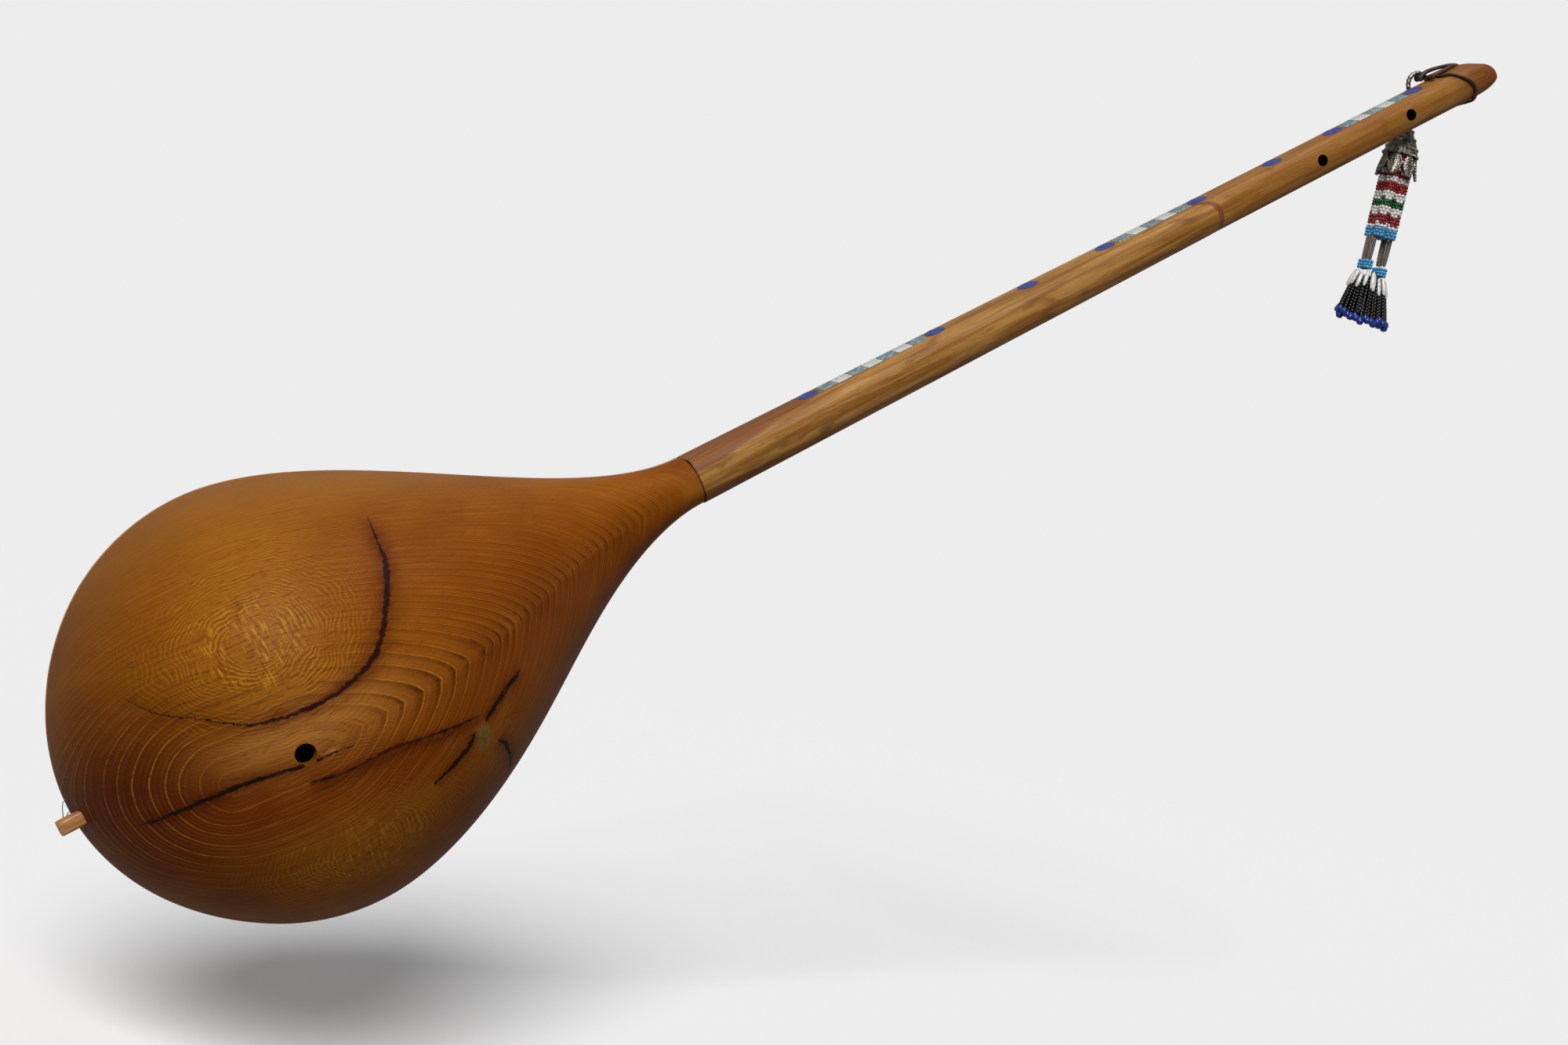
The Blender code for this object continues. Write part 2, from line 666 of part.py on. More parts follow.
def ring_drop():
    """From the toggle's middle line down to the middle of the ring that hangs on it."""
    return TASSEL_RING_RADIUS - TASSEL_RING_WIRE - TOGGLE_RADIUS - FIT


def tassel_ring_mesh():
    """Wire ring in the XZ plane, hanging from the toggle."""
    hang = Matrix.Translation((0, 0, -ring_drop())) @ Matrix.Rotation(math.pi / 2, 4, "X")
    rings = []
    for point in circle(TASSEL_RING_WIRE, 0, 10):
        wire = circle(TASSEL_RING_RADIUS + point.x, point.y, 28)
        rings.append([hang @ corner for corner in wire])
    return loft("tassel_ring", rings, closed=True)


def make_tassel(looks):
    """Ring on the toggle and, on the ring, the cord, cap, bead ropes and fringe, leaning a little off plumb."""
    x, z = toggle_place()
    raise_turn = Matrix.Rotation(-NECK_RAISE, 4, "Y")
    hang_place = raise_turn @ Vector((x, TASSEL_AHEAD, z))
    ring_pivot = empty("tassel_ring_pivot", hang_place, turn=(0, TASSEL_LEAN, 0))
    add("tassel_ring", tassel_ring_mesh(), ring_pivot, looks["silver"])
    ring_bottom = -ring_drop() - TASSEL_RING_RADIUS
    pivot = empty("tassel_pivot", (0, 0, ring_bottom), ring_pivot)
    lower_edge = (z + half_width_at(x)) / math.cos(NECK_RAISE)
    corner = CAP_TOP_RADIUS * math.tan(NECK_RAISE)
    cap_top = -(lower_edge + corner + CAP_CLEARANCE) - ring_bottom
    cord_top = -TASSEL_RING_WIRE - FIT
    cord = [(TASSEL_CORD_RADIUS, cord_top), (TASSEL_CORD_RADIUS, cap_top + FIT)]
    add("tassel_cord", turned("tassel_cord", cord, 10), pivot, looks["cord"])
    add("tassel_cap", cap_mesh(cap_top), pivot, looks["silver"])
    rope_top = cap_top - CAP_HEIGHT * ROPE_START
    make_ropes(pivot, looks["bead"], rope_top)
    fringe_top = rope_top - ROPE_LENGTH - FIT
    fringe = [
        (FRINGE_TOP_RADIUS * 0.8, fringe_top),
        (FRINGE_TOP_RADIUS, fringe_top - FRINGE_HEIGHT * 0.06),
        (FRINGE_RADIUS, fringe_top - FRINGE_HEIGHT * 0.9),
        (FRINGE_RADIUS * 0.9, fringe_top - FRINGE_HEIGHT),
    ]
    add("tassel_fringe", turned("tassel_fringe", fringe, 20), pivot, looks["black"])


def cap_mesh(top):
    """Bell with a hollow underside, its rim drawn out like petals' ends."""
    neck = CAP_TOP_RADIUS * 1.5
    waist = CAP_RADIUS * 0.78
    outside = ((CAP_TOP_RADIUS, 0.0), (neck, 0.16), (waist, 0.62), (CAP_RADIUS, 1.0))
    profile = [(radius, top - share * CAP_HEIGHT) for radius, share in outside]
    inside = ((CAP_RADIUS - CAP_WALL, 1.0), (waist - CAP_WALL, 0.66), (CAP_TOP_RADIUS, 0.4))
    profile += [(radius, top - share * CAP_HEIGHT) for radius, share in inside]
    return turned("tassel_cap", profile, 20)


def make_ropes(pivot, look, top):
    """Four ropes of beads side by side about the tassel's middle line."""
    gap = ROPE_RADIUS + FIT
    for number, (side_x, side_y) in enumerate(((1, 1), (1, -1), (-1, -1), (-1, 1)), 1):
        place = Matrix.Translation((side_x * gap, side_y * gap, top))
        profile = [
            (ROPE_RADIUS * 0.6, -ROPE_LENGTH),
            (ROPE_RADIUS, -ROPE_LENGTH + ROPE_RADIUS * 0.4),
            (ROPE_RADIUS, -ROPE_RADIUS * 0.4),
            (ROPE_RADIUS * 0.6, 0.0),
        ]
        add(f"tassel_rope_{number}", turned("rope", profile, 12, place), pivot, look)


def make_looks():
    return {
        "bowl": material("mulberry", (0.27, 0.105, 0.025), 0.35),
        "soundboard": material("soundboard mulberry", (0.42, 0.25, 0.10), 0.45),
        "neck": material("apricot", (0.31, 0.14, 0.035), 0.35),
        "peg": material("peg wood", (0.16, 0.06, 0.02), 0.4),
        "steel": material("steel", (0.62, 0.62, 0.60), 0.3, 1.0),
        "blue": material("blue inlay", (0.05, 0.06, 0.28), 0.3),
        "pearl": material("pearl mosaic", (0.58, 0.62, 0.62), 0.25),
        "leather": material("thong leather", (0.045, 0.022, 0.014), 0.6),
        "silver": material("silver filigree", (0.55, 0.53, 0.50), 0.35, 1.0),
        "cord": material("tassel cord", (0.30, 0.28, 0.26), 0.8),
        "bead": material("seed beads", (0.75, 0.72, 0.68), 0.3),
        "black": material("black beads", (0.012, 0.012, 0.014), 0.25),
    }


def build():
    clear_scene()
    looks = make_looks()
    dutar = empty("dutar", (0, 0, 0), turn=(0, -NECK_RAISE, 0))
    make_bowl(dutar, looks["bowl"])
    make_soundboard(dutar, looks["soundboard"])
    make_neck(dutar, looks["neck"])
    make_front_fittings(dutar, looks)
    make_inlays(dutar, looks)
    make_bridge(dutar, looks["peg"])
    make_tail_pin(dutar, looks["neck"])
    make_strings(dutar, looks["steel"])
    make_pegs(dutar, looks)
    make_thong(dutar, looks["leather"])
    make_tassel(looks)


build()
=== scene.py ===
import functools
import math

import bmesh
import bpy
import numpy as np
from mathutils import Matrix, Vector


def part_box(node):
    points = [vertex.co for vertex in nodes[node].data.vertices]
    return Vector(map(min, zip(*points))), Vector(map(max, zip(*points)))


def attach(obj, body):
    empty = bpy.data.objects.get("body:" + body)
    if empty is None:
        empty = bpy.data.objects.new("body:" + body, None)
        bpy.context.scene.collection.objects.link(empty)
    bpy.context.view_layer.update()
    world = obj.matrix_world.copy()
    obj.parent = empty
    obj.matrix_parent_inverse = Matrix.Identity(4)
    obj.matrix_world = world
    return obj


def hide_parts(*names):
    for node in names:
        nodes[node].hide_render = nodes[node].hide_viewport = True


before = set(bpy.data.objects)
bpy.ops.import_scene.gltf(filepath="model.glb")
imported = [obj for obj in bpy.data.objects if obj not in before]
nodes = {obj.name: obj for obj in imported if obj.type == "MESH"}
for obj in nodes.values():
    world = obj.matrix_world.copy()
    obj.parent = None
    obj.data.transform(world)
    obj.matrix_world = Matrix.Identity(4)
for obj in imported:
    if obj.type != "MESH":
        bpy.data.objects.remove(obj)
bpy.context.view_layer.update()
print("frame loaded,", len(nodes), "nodes")

raiseAngle = math.radians(36)  # the neck's rise, as in the solids
bowlLength, neckLength, tipAt = 0.360, 0.350, 0.565
rng = np.random.default_rng(7)


# numbers and points

def linear(colour):  # three screen values, 0-255, made a linear colour; a colour of four or a socket as it is
    if not (isinstance(colour, tuple) and len(colour) == 3):
        return colour
    v = np.array(colour) / 255
    v = np.where(v <= 0.04045, v / 12.92, ((v + 0.055) / 1.055) ** 2.4)
    return (*v.tolist(), 1.0)


def smooth(low, high, value):  # 0 below low, 1 above high, eased between
    t = np.clip((value - low) / (high - low), 0, 1)
    return t * t * (3 - 2 * t)


def bell(distance, reach):  # 1 in the middle, falling away over the reach
    return np.exp(-(distance / reach) ** 2)


def turns(count):  # equal steps round a circle
    return np.arange(count) * 2 * np.pi / count


def squarish(turn, power):  # circle drawn towards a square: cosine and sine, each with its size to a power
    c, s = np.cos(turn), np.sin(turn)
    return np.sign(c) * np.abs(c) ** power, np.sign(s) * np.abs(s) ** power


def bezier(start, leave, arrive, end, steps=120):  # cubic through its ends
    t = np.linspace(0, 1, steps)[:, None]
    a, b, c, d = (np.array(p, float) for p in (start, leave, arrive, end))
    return (1 - t) ** 3 * a + 3 * (1 - t) ** 2 * t * b + 3 * (1 - t) * t ** 2 * c + t ** 3 * d


def smoothKnots(knots, count):  # cubic through its knots, each slope half the step between the neighbours
    knots = np.array(knots, float)
    slope = np.gradient(knots, axis=0)
    t = np.linspace(0, len(knots) - 1, count)
    i = np.minimum(t.astype(int), len(knots) - 2)
    u = (t - i)[:, None]
    start = knots[i] * (1 + 2 * u) * (1 - u) ** 2 + slope[i] * u * (1 - u) ** 2
    return start + knots[i + 1] * u ** 2 * (3 - 2 * u) + slope[i + 1] * u ** 2 * (u - 1)


def grid(*columns):  # coordinates of shapes that fit each other, as one array of points
    return np.stack(np.broadcast_arrays(*columns), -1)


def toWorld(points):  # instrument frame to world: turned about Y by the neck's rise
    x, y, z = np.moveaxis(np.asarray(points, float), -1, 0)
    c, s = math.cos(raiseAngle), math.sin(raiseAngle)
    return grid(x * c - z * s, y, x * s + z * c)


def upright(x, z=0.0):  # stands a turned shape in the instrument's front, at a place along and across it
    return lambda p: toWorld(grid(p[..., 0] + x, p[..., 2], p[..., 1] + z))


# skins: points with the faces between them

def skin(points, wrapRows=False):
    # quads between neighbouring rows of a grid of points, each row a closed loop, ends closed by one face
    n, m = points.shape[:2]
    index = np.arange(n * m).reshape(n, m)
    near = index if wrapRows else index[:-1]
    far = np.roll(index, -1, 0) if wrapRows else index[1:]
    faces = np.stack([near, np.roll(near, -1, 1), np.roll(far, -1, 1), far], -1).reshape(-1, 4).tolist()
    if not wrapRows:
        faces += [index[0][::-1].tolist(), index[-1].tolist()]
    return points.reshape(-1, 3), faces


def gather(skins):  # several skins as one
    points, faces, count = [], [], 0
    for pts, quads in skins:
        points.append(pts)
        faces += [[i + count for i in quad] for quad in quads]
        count += len(pts)
    return np.concatenate(points), faces


def carried(made):  # a skin given in the instrument's frame, carried to the world
    return toWorld(made[0]), made[1]


def tubeAlong(path, radius, sides=10, closed=False, flat=1.0):
    # circle carried along a path: frame from the tangent and a steady side vector, radius per point
    path = np.asarray(path, float)
    radius = np.broadcast_to(np.asarray(radius, float), (len(path),))
    ahead = np.roll(path, -1, 0) - np.roll(path, 1, 0)
    if not closed:
        ahead[0], ahead[-1] = path[1] - path[0], path[-1] - path[-2]
    ahead /= np.linalg.norm(ahead, axis=1)[:, None]
    side = np.cross(ahead, [0.31, 0.27, 0.91])
    side /= np.linalg.norm(side, axis=1)[:, None]
    up = np.cross(side, ahead)
    turn = turns(sides)[:, None]
    around = np.cos(turn) * side[:, None] + np.sin(turn) * flat * up[:, None]
    return skin(path[:, None] + radius[:, None, None] * around, wrapRows=closed)


def lathe(profile, place, sides=24):
    # profile of (radius, height) turned about +Z, then carried by a function of the points
    radius, height = np.array(profile, float).T[..., None]
    turn = turns(sides)
    return skin(place(grid(radius * np.cos(turn), radius * np.sin(turn), height)))


def drill(radius, heights, place, sides=40):  # straight round cutter through the given heights
    return lathe([(radius, height) for height in heights], place, sides)


# objects

def newObject(name, data):
    made = bpy.data.objects.new(name, data)
    bpy.context.scene.collection.objects.link(made)
    return made


def outwardMesh(name, points, faces):  # mesh of a skin with its faces turned outwards
    mesh = bpy.data.meshes.new(name)
    mesh.from_pydata(points.tolist(), [], faces)
    bm = bmesh.new()
    bm.from_mesh(mesh)
    bmesh.ops.recalc_face_normals(bm, faces=bm.faces)
    bm.to_mesh(mesh)
    bm.free()
    return mesh


def putPiece(name, node, made, look, body="instrument", sharp=40, attributes=None):
    mesh = outwardMesh(name, *made)
    for key, values in (attributes or {}).items():
        layer = mesh.attributes.new(key, "FLOAT", "POINT")
        layer.data.foreach_set("value", np.asarray(values, np.float32).ravel())
    mesh.shade_smooth()
    mesh.set_sharp_from_angle(angle=math.radians(sharp))
    mesh.materials.append(look)
    piece = newObject(name, mesh)
    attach(piece, body)
    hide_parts(node)
    return piece


def carve(piece, cutters, operation="DIFFERENCE"):  # takes other shapes out of a piece, or adds them
    cutter = newObject("cutter", outwardMesh("cutter", *gather(cutters)))
    step = piece.modifiers.new("carve", "BOOLEAN")
    step.object, step.solver, step.operation = cutter, "EXACT", operation
    graph = bpy.context.evaluated_depsgraph_get()
    shaped = piece.evaluated_get(graph)
    done = bpy.data.meshes.new_from_object(shaped, preserve_all_data_layers=True, depsgraph=graph)
    piece.modifiers.clear()
    piece.data = done
    done.set_sharp_from_angle(angle=math.radians(40))
    bpy.data.objects.remove(cutter)


# finishes

class Nodes:  # one node tree: numbers, sockets or the names of attributes go in, and a socket comes out
    def __init__(self, tree):
        self.tree = tree

    def node(self, kind, feeds=(), **settings):
        made = self.tree.nodes.new("ShaderNode" + kind)
        for key, value in settings.items():
            setattr(made, key, value)
        for key, value in dict(feeds).items():
            self.feed(made.inputs[key], value)
        return made

    def feed(self, socket, value):
        if isinstance(value, str):
            value = self.node("Attribute", attribute_name=value).outputs["Fac"]
        if isinstance(value, bpy.types.NodeSocket):
            self.tree.links.new(value, socket)
        else:
            socket.default_value = value

    def calc(self, operation, *values):
        return self.node("Math", enumerate(values), operation=operation).outputs[0]

    def plus(self, a, b):
        return self.calc("ADD", a, b)

    def times(self, *values):
        return functools.reduce(functools.partial(self.calc, "MULTIPLY"), values)

    def about(self, value, amount):  # a noise of 0 to 1 made a sway about nothing
        return self.times(self.calc("SUBTRACT", value, 0.5), amount)

    def ease(self, value, low, high, outLow=0.0, outHigh=1.0):
        feeds = {"Value": value, "From Min": low, "From Max": high, "To Min": outLow, "To Max": outHigh}
        return self.node("MapRange", feeds, interpolation_type="SMOOTHSTEP").outputs[0]

    def mix(self, factor, a, b):
        feeds = {0: factor, 6: linear(a), 7: linear(b)}
        return self.node("Mix", feeds, data_type="RGBA", clamp_factor=True).outputs[2]


class Finish(Nodes):  # a material on object coordinates, its base colour built up coat by coat
    def __init__(self, name, roughness, metallic=0.0, specular=None, rise=raiseAngle):
        self.look = bpy.data.materials.new(name)
        self.look.use_nodes = True
        super().__init__(self.look.node_tree)
        self.shader = self.tree.nodes["Principled BSDF"]
        self.put("Roughness", roughness)
        self.put("Metallic", metallic)
        if specular is not None:
            self.put("Specular IOR Level", specular)
        coords = self.node("TexCoord").outputs["Object"]
        self.at = self.node("Mapping", {"Vector": coords, "Rotation": (0, rise, 0)}).outputs[0]

    def put(self, name, value):
        self.feed(self.shader.inputs[name], value)

    def noise(self, scale, detail=2.0, roughness=0.5, distortion=0.0, at=None):
        at = at or self.at  # a scale of three numbers stretches each axis by its own
        if isinstance(scale, tuple):
            at, scale = self.node("Mapping", {"Vector": at, "Scale": scale}).outputs[0], 1.0
        feeds = {"Vector": at, "Scale": scale, "Detail": detail, "Roughness": roughness}
        return self.node("TexNoise", feeds | {"Distortion": distortion}).outputs[0]

    def cells(self, scale):  # distance from the edges of small cells
        feeds = {"Vector": self.at, "Scale": scale}
        return self.node("TexVoronoi", feeds, feature="DISTANCE_TO_EDGE").outputs[0]

    def ground(self, value, low, high, dark, light):  # the base: two colours, eased from one to the other
        self.base = self.mix(self.ease(value, low, high), dark, light)

    def coat(self, factor, colour):  # a colour laid over the base, as strongly as the factor says
        self.base = self.mix(factor, self.base, colour)

    def veil(self, value, low, high, amount, colour):  # a coat that comes in between two values
        self.coat(self.ease(value, low, high, 0.0, amount), colour)

    def done(self, height, distance, strength, roughness=None):  # roughness: least, gain and what it goes by
        self.put("Base Color", self.base)
        if roughness:
            least, gain, value = roughness
            self.put("Roughness", self.plus(least, self.times(value, gain)))
        bump = self.node("Bump", {"Height": height, "Distance": distance, "Strength": strength})
        self.put("Normal", bump.outputs[0])
        return self.look


# camera, floor and light

cameraPlan = {"at": (-0.57122, -1.40057, 0.01034), "right": (0.89581, -0.40146, 0.19068),
              "down": (0.16771, -0.09196, -0.98154), "forward": (0.41158, 0.91125, -0.01505),
              "focalPixels": 3600, "framePixels": 2000, "sensor": 36}
skyPlan = {"backdrop": (237, 237, 237), "ambient": 0.08, "mirrored": 0.26}
floorPlan = {"drop": 0.095, "reach": 3.4, "ahead": 0.4, "fade": (0.25, 0.95),
             "colour": 0.82, "bounce": 0.26, "glow": 0.16}
# each lamp: where it comes from, its power, and its width in degrees
lampPlan = {"keyLamp": ((-0.46, -0.72, 0.66), 2.45, 30), "topLamp": ((0.05, -0.16, 1.0), 0.95, 50),
            "backLamp": ((0.20, 1.0, 0.15), 1.7, 40), "floorLamp": ((-0.74, -1.75, 1.0), 5.12, 21)}


def placeCamera(plan):
    camera = newObject("camera", bpy.data.cameras.new("camera"))
    matrix = np.eye(4)
    matrix[:3, :3] = np.array([plan["right"], np.negative(plan["down"]), np.negative(plan["forward"])]).T
    matrix[:3, 3] = plan["at"]
    camera.matrix_world = Matrix(matrix.tolist())
    camera.data.sensor_width = plan["sensor"]
    camera.data.lens = plan["focalPixels"] / plan["framePixels"] * plan["sensor"]
    camera.data.clip_start = 0.01
    bpy.context.scene.camera = camera


def makeSky(plan):  # plain backdrop for the eye, a dimmer glow for light and reflections
    world = bpy.data.worlds.new("studio")
    bpy.context.scene.world = world
    world.use_nodes = True
    sky = Nodes(world.node_tree)
    sky.tree.nodes.clear()
    ray = sky.node("LightPath").outputs
    seen = sky.node("Background", {"Color": linear(plan["backdrop"]), "Strength": 1.0})
    strength = sky.ease(ray["Is Glossy Ray"], 0.0, 1.0, plan["ambient"], plan["mirrored"])
    glow = sky.node("Background", {"Color": (1, 1, 1, 1), "Strength": strength})
    direct = sky.calc("MAXIMUM", ray["Is Camera Ray"], ray["Is Transmission Ray"])
    both = sky.node("MixShader", {0: direct, 1: glow.outputs[0], 2: seen.outputs[0]})
    sky.node("OutputWorld", {"Surface": both.outputs[0]})


def makeFloor(plan):  # pale disc that fades out towards its edge
    middle = np.array([0.0, plan["ahead"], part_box("bowl")[0].z - plan["drop"]])
    turn = turns(64)
    rim = grid(plan["reach"] * np.cos(turn), plan["reach"] * np.sin(turn), 0.0) + middle
    mesh = bpy.data.meshes.new("floor")
    mesh.from_pydata(rim.tolist(), [], [list(range(len(rim)))])
    pale = Finish("pale floor", 0.9, specular=0.0, rise=0)
    seen = pale.node("LightPath").outputs["Is Camera Ray"]
    bounce, colour = ((plan[key],) * 3 + (1,) for key in ("bounce", "colour"))
    pale.put("Base Color", pale.mix(seen, bounce, colour))
    pale.put("Emission Color", (1, 1, 1, 1))
    pale.put("Emission Strength", pale.times(seen, plan["glow"]))
    away = pale.node("VectorMath", {0: pale.at, 1: middle.tolist()}, operation="DISTANCE").outputs["Value"]
    fade = pale.ease(away, *(plan["reach"] * share for share in plan["fade"]))
    clear = pale.node("BsdfTransparent")
    blend = pale.node("MixShader", {0: fade, 1: pale.shader.outputs[0], 2: clear.outputs[0]})
    pale.feed(pale.tree.nodes["Material Output"].inputs["Surface"], blend.outputs[0])
    mesh.materials.append(pale.look)
    floor = newObject("floor", mesh)
    print("floor at", round(middle[2], 3))
    return floor


def makeLamps(plan, floor):  # the floor's lamp lights the floor alone, the others all but the floor
    for name, (come, power, angle) in plan.items():
        lamp = newObject(name, bpy.data.lights.new(name, "SUN"))
        lamp.data.energy, lamp.data.angle = power, math.radians(angle)
        lamp.rotation_euler = (-Vector(come)).to_track_quat("-Z", "Y").to_euler()
        lamp.visible_glossy = name != "backLamp"  # no glint round the edge from behind
        reach = bpy.data.collections.new(name + "Reach")
        reach.objects.link(floor)
        reach.collection_objects[0].light_linking.link_state = "INCLUDE" if name == "floorLamp" else "EXCLUDE"
        lamp.light_linking.receiver_collection = reach


placeCamera(cameraPlan)
makeSky(skyPlan)
makeLamps(lampPlan, makeFloor(floorPlan))
print("camera, floor and lamps set")


# the bowl

bowlPlan = {"width": 0.2226, "depth": 0.138, "widestAt": 0.111, "deepestAt": 0.1166,
            "wall": 0.0055, "heel": 0.070, "squareness": 2.37, "rim": -0.0033,
            "endWidth": 0.0270, "endDepth": 0.0215, "round": 0.5523,
            "outlineHandles": (0.31, 0.27), "keelHandles": (0.48, 0.42), "rows": 250, "columns": 200,
            "rowPower": 1.5, "rimCrowd": 0.35, "innerRows": 40, "innerColumns": 32, "lidLift": 0.004,
            "holeAt": 0.0943, "holeRadius": 0.0050, "holeCut": (-0.16, -0.1352, -0.1340, -0.08),
            "pinDepth": 0.026, "pinAcross": -0.0055, "pinRadius": 0.0043, "pinCut": (-0.39, -0.335),
            "leanFrom": 0.055, "leanAlong": -0.0025, "leanAcross": -0.0040,
            "loopTail": 60, "loopMiddle": 100, "loopPower": 1.35, "loopSlim": 0.57,
            "ringLines": [-3, 5, 13, 21, 26, 32, 38.5, 44, 48.5, 55] + [58 + 3.1 * i for i in range(50)],
            "flowers": ((97, 58, 1.25), (103, -60, 1.35))}
# soft patches: ((mm from the tail, degrees round), (reach along, reach round), strength)
bowlSpots = {
    "stainTail": ((82, 97), (50, 8), 1.0), "stainMiddle": ((150, 101), (45, 8), 0.85),
    "stainNeck": ((45, 95), (25, 9), 0.5), "tailShade": ((20, 92), (40, 40), 1.0),
    "fleckUpper": ((98, 64), (43, 25), 1.0), "fleckLower": ((104, 121), (46, 12), 0.75),
    "filler": ((177, 110), (6.5, 5), 1.0), "chip": ((105, 90.7), (8.5, 0.5), 1.0),
    "sapwood": ((355, 95), (7, 22), 1.0), "pale": ((96, 86), (44, 6), 1.0),
    "redNeck": ((240, 76), (75, 32), 0.9), "goldTop": ((130, 14), (120, 26), 1.0),
    # painted shade: the tail's upper-left edge darkened where the key lamp reaches little
    "leftShade": ((0, 50), (24, 40), 0.8),
}
# colour of each patch, and how strongly it shows, in the order they are laid; the patch darkening the tail's
# upper-left edge is painted shade, and the dark red band below the ridge is partly painted shade
bowlTones = {
    "fleck": (0.75, (160, 100, 16)), "goldTop": (0.62, (152, 100, 34)), "leftShade": (0.60, (92, 48, 14)),
    "redNeck": (0.60, (126, 55, 8)), "pale": (0.85, (196, 130, 64)), "tailShade": (0.90, (80, 20, 0)),
    "stain": (0.66, (106, 30, 2)), "underRidge": (0.45, (88, 34, 5)),
}
# marks in the wood, as (mm from the tail, degrees round from the upper rim, width in mm)
bowlMarks = {
    "streak": [(179, 34, 0.5), (173, 49, 1.3), (170, 57.5, 2.6), (158, 70, 2.5), (143, 79, 2.3),
               (124, 82.3, 2.0), (107, 83, 1.7), (88, 82, 1.2), (75, 80, 0.7), (60, 74, 0.5), (45, 66, 0.45),
               (33, 49, 0.4)],
    "crack": [(16, 95.0, 1.0), (39, 92.0, 1.6), (60, 90.8, 1.9), (78, 90.9, 1.7), (92, 91.4, 1.6),
              (103, 91.5, 0.7), (119, 92.0, 0.3)],
    "seam": [(88, 94.6, 0.9), (107, 95.8, 1.4), (131, 96.2, 1.6), (155, 99.2, 1.5), (182, 103.5, 0.7)],
    "knotUpper": [(210, 102, 0.9), (202, 102.6, 1.9), (195, 103.4, 2.8), (188, 104.4, 2.6), (180, 106, 1.6)],
    "knotLower": [(173, 106, 1.4), (168, 108.3, 2.2), (157, 109.8, 1.9), (143, 110.8, 0.8)],
    "knotSide": [(184, 115, 1.2), (187.5, 120, 2.0), (189, 128, 1.5), (188.4, 139, 0.7)],
}
# marks that share one look: names, a place on their positive side,
# the share of their width that is dark, and the width that has a full halo
markGroups = {"streak": (("streak",), bowlSpots["fleckUpper"][0], 1.0, 1.2),
              "seam": (("seam",), (60, 120), 0.6, 1.1),
              "crack": (("crack", "knotUpper", "knotLower", "knotSide"), (60, 120), 1.0, 1.2)}


def belly(plan, inset, peakAt, peak, end, handles):
    # curve that swells from a round tail to its peak and narrows to the neck
    run, reach, k = peakAt - inset, bowlLength - peakAt, plan["round"]
    tail = bezier((inset, 0), (inset, k * peak), (peakAt - k * run, peak), (peakAt, peak))
    leave, arrive = (peakAt + handles[0] * reach, peak), (bowlLength - handles[1] * reach, end)
    return np.vstack([tail, bezier((peakAt, peak), leave, arrive, (bowlLength, end))[1:]]).T


def outlineCurve(plan, inset=0.0):  # half width along the bowl
    half, end = plan["width"] / 2 - inset, plan["endWidth"] / 2 - inset
    return belly(plan, inset, plan["widestAt"], half, end, plan["outlineHandles"])


def tailLean(plan, along):
    # how far the tail runs out of line, along and across: an eased share of its full lean
    share = np.clip(1 - along / plan["leanFrom"], 0, 1) ** 2
    return share * plan["leanAlong"], share * plan["leanAcross"]


def bowlPoint(plan, along, around, inset=0.0):
    # superellipse section: half width times |cos| to a power across, depth times |sin| to that power back
    deep, end = plan["depth"] - inset, plan["endDepth"] - inset
    keel = belly(plan, inset, plan["deepestAt"], deep, end, plan["keelHandles"])
    half, depth = np.interp(along, *outlineCurve(plan, inset)), np.interp(along, *keel) + plan["rim"]
    across, back = squarish(around, 2 / plan["squareness"])
    out, aside = tailLean(plan, along)
    return grid(along - bowlLength + out, plan["rim"] - depth * np.abs(back), half * across + aside)


def markField(plan, marks, points, towards, batch=4000):
    # for each point the distance in mm to the nearest mark, and that mark's width
    # the distance is positive on the side of a given place
    centre = bowlPoint(plan, np.array(towards[0] / 1000), np.radians(towards[1]))
    side, wide = np.full(len(points), 400.0), np.zeros(len(points))
    for mark in marks:
        line = smoothKnots(mark, 40 * len(mark))
        along, around = line[:, 0] / 1000, np.radians(line[:, 1])
        path = bowlPoint(plan, along, around)
        further, rounder = bowlPoint(plan, along + 0.001, around), bowlPoint(plan, along, around + 0.01)
        out = np.cross(further - path, rounder - path)
        across = np.cross(np.gradient(path, axis=0), out)
        across *= np.sign(((centre - path) * across).sum())
        share = np.linspace(0, 1, len(path))
        width = line[:, 2] * np.minimum(smooth(0, 0.06, share), smooth(0, 0.06, 1 - share))
        for start in range(0, len(points), batch):
            some = slice(start, start + batch)
            gap = np.linalg.norm(points[some, None] - path[None], axis=2)
            near = gap.argmin(1)
            away = gap.min(1) * 1000
            facing = ((points[some] - path[near]) * across[near]).sum(1)
            closer = away < np.abs(side[some])
            side[some] = np.where(closer, np.where(facing < 0, -away, away), side[some])
            wide[some] = np.where(closer, width[near], wide[some])
    return side, wide


def keelArc(points):  # signed length round the section from the keel, upper side positive
    step = np.linalg.norm(np.diff(points, axis=1), axis=2)
    run = np.concatenate([np.zeros((len(points), 1)), np.cumsum(step, 1)], 1)
    middle = points.shape[1] // 2
    return run[:, middle:middle + 1] - run


def ringField(plan, a, off):
    # nested loops round the back hole: circles towards the tail, pointed ovals towards the neck
    side = np.abs(off)
    power, slim = plan["loopPower"], plan["loopSlim"]
    tailSide = np.hypot(np.maximum(plan["loopTail"] - a, 0), side)
    neckSide = slim * (np.maximum(a - plan["loopMiddle"], 0) ** power + (side / slim) ** power) ** (1 / power)
    return np.where(a < plan["loopMiddle"], tailSide, neckSide)


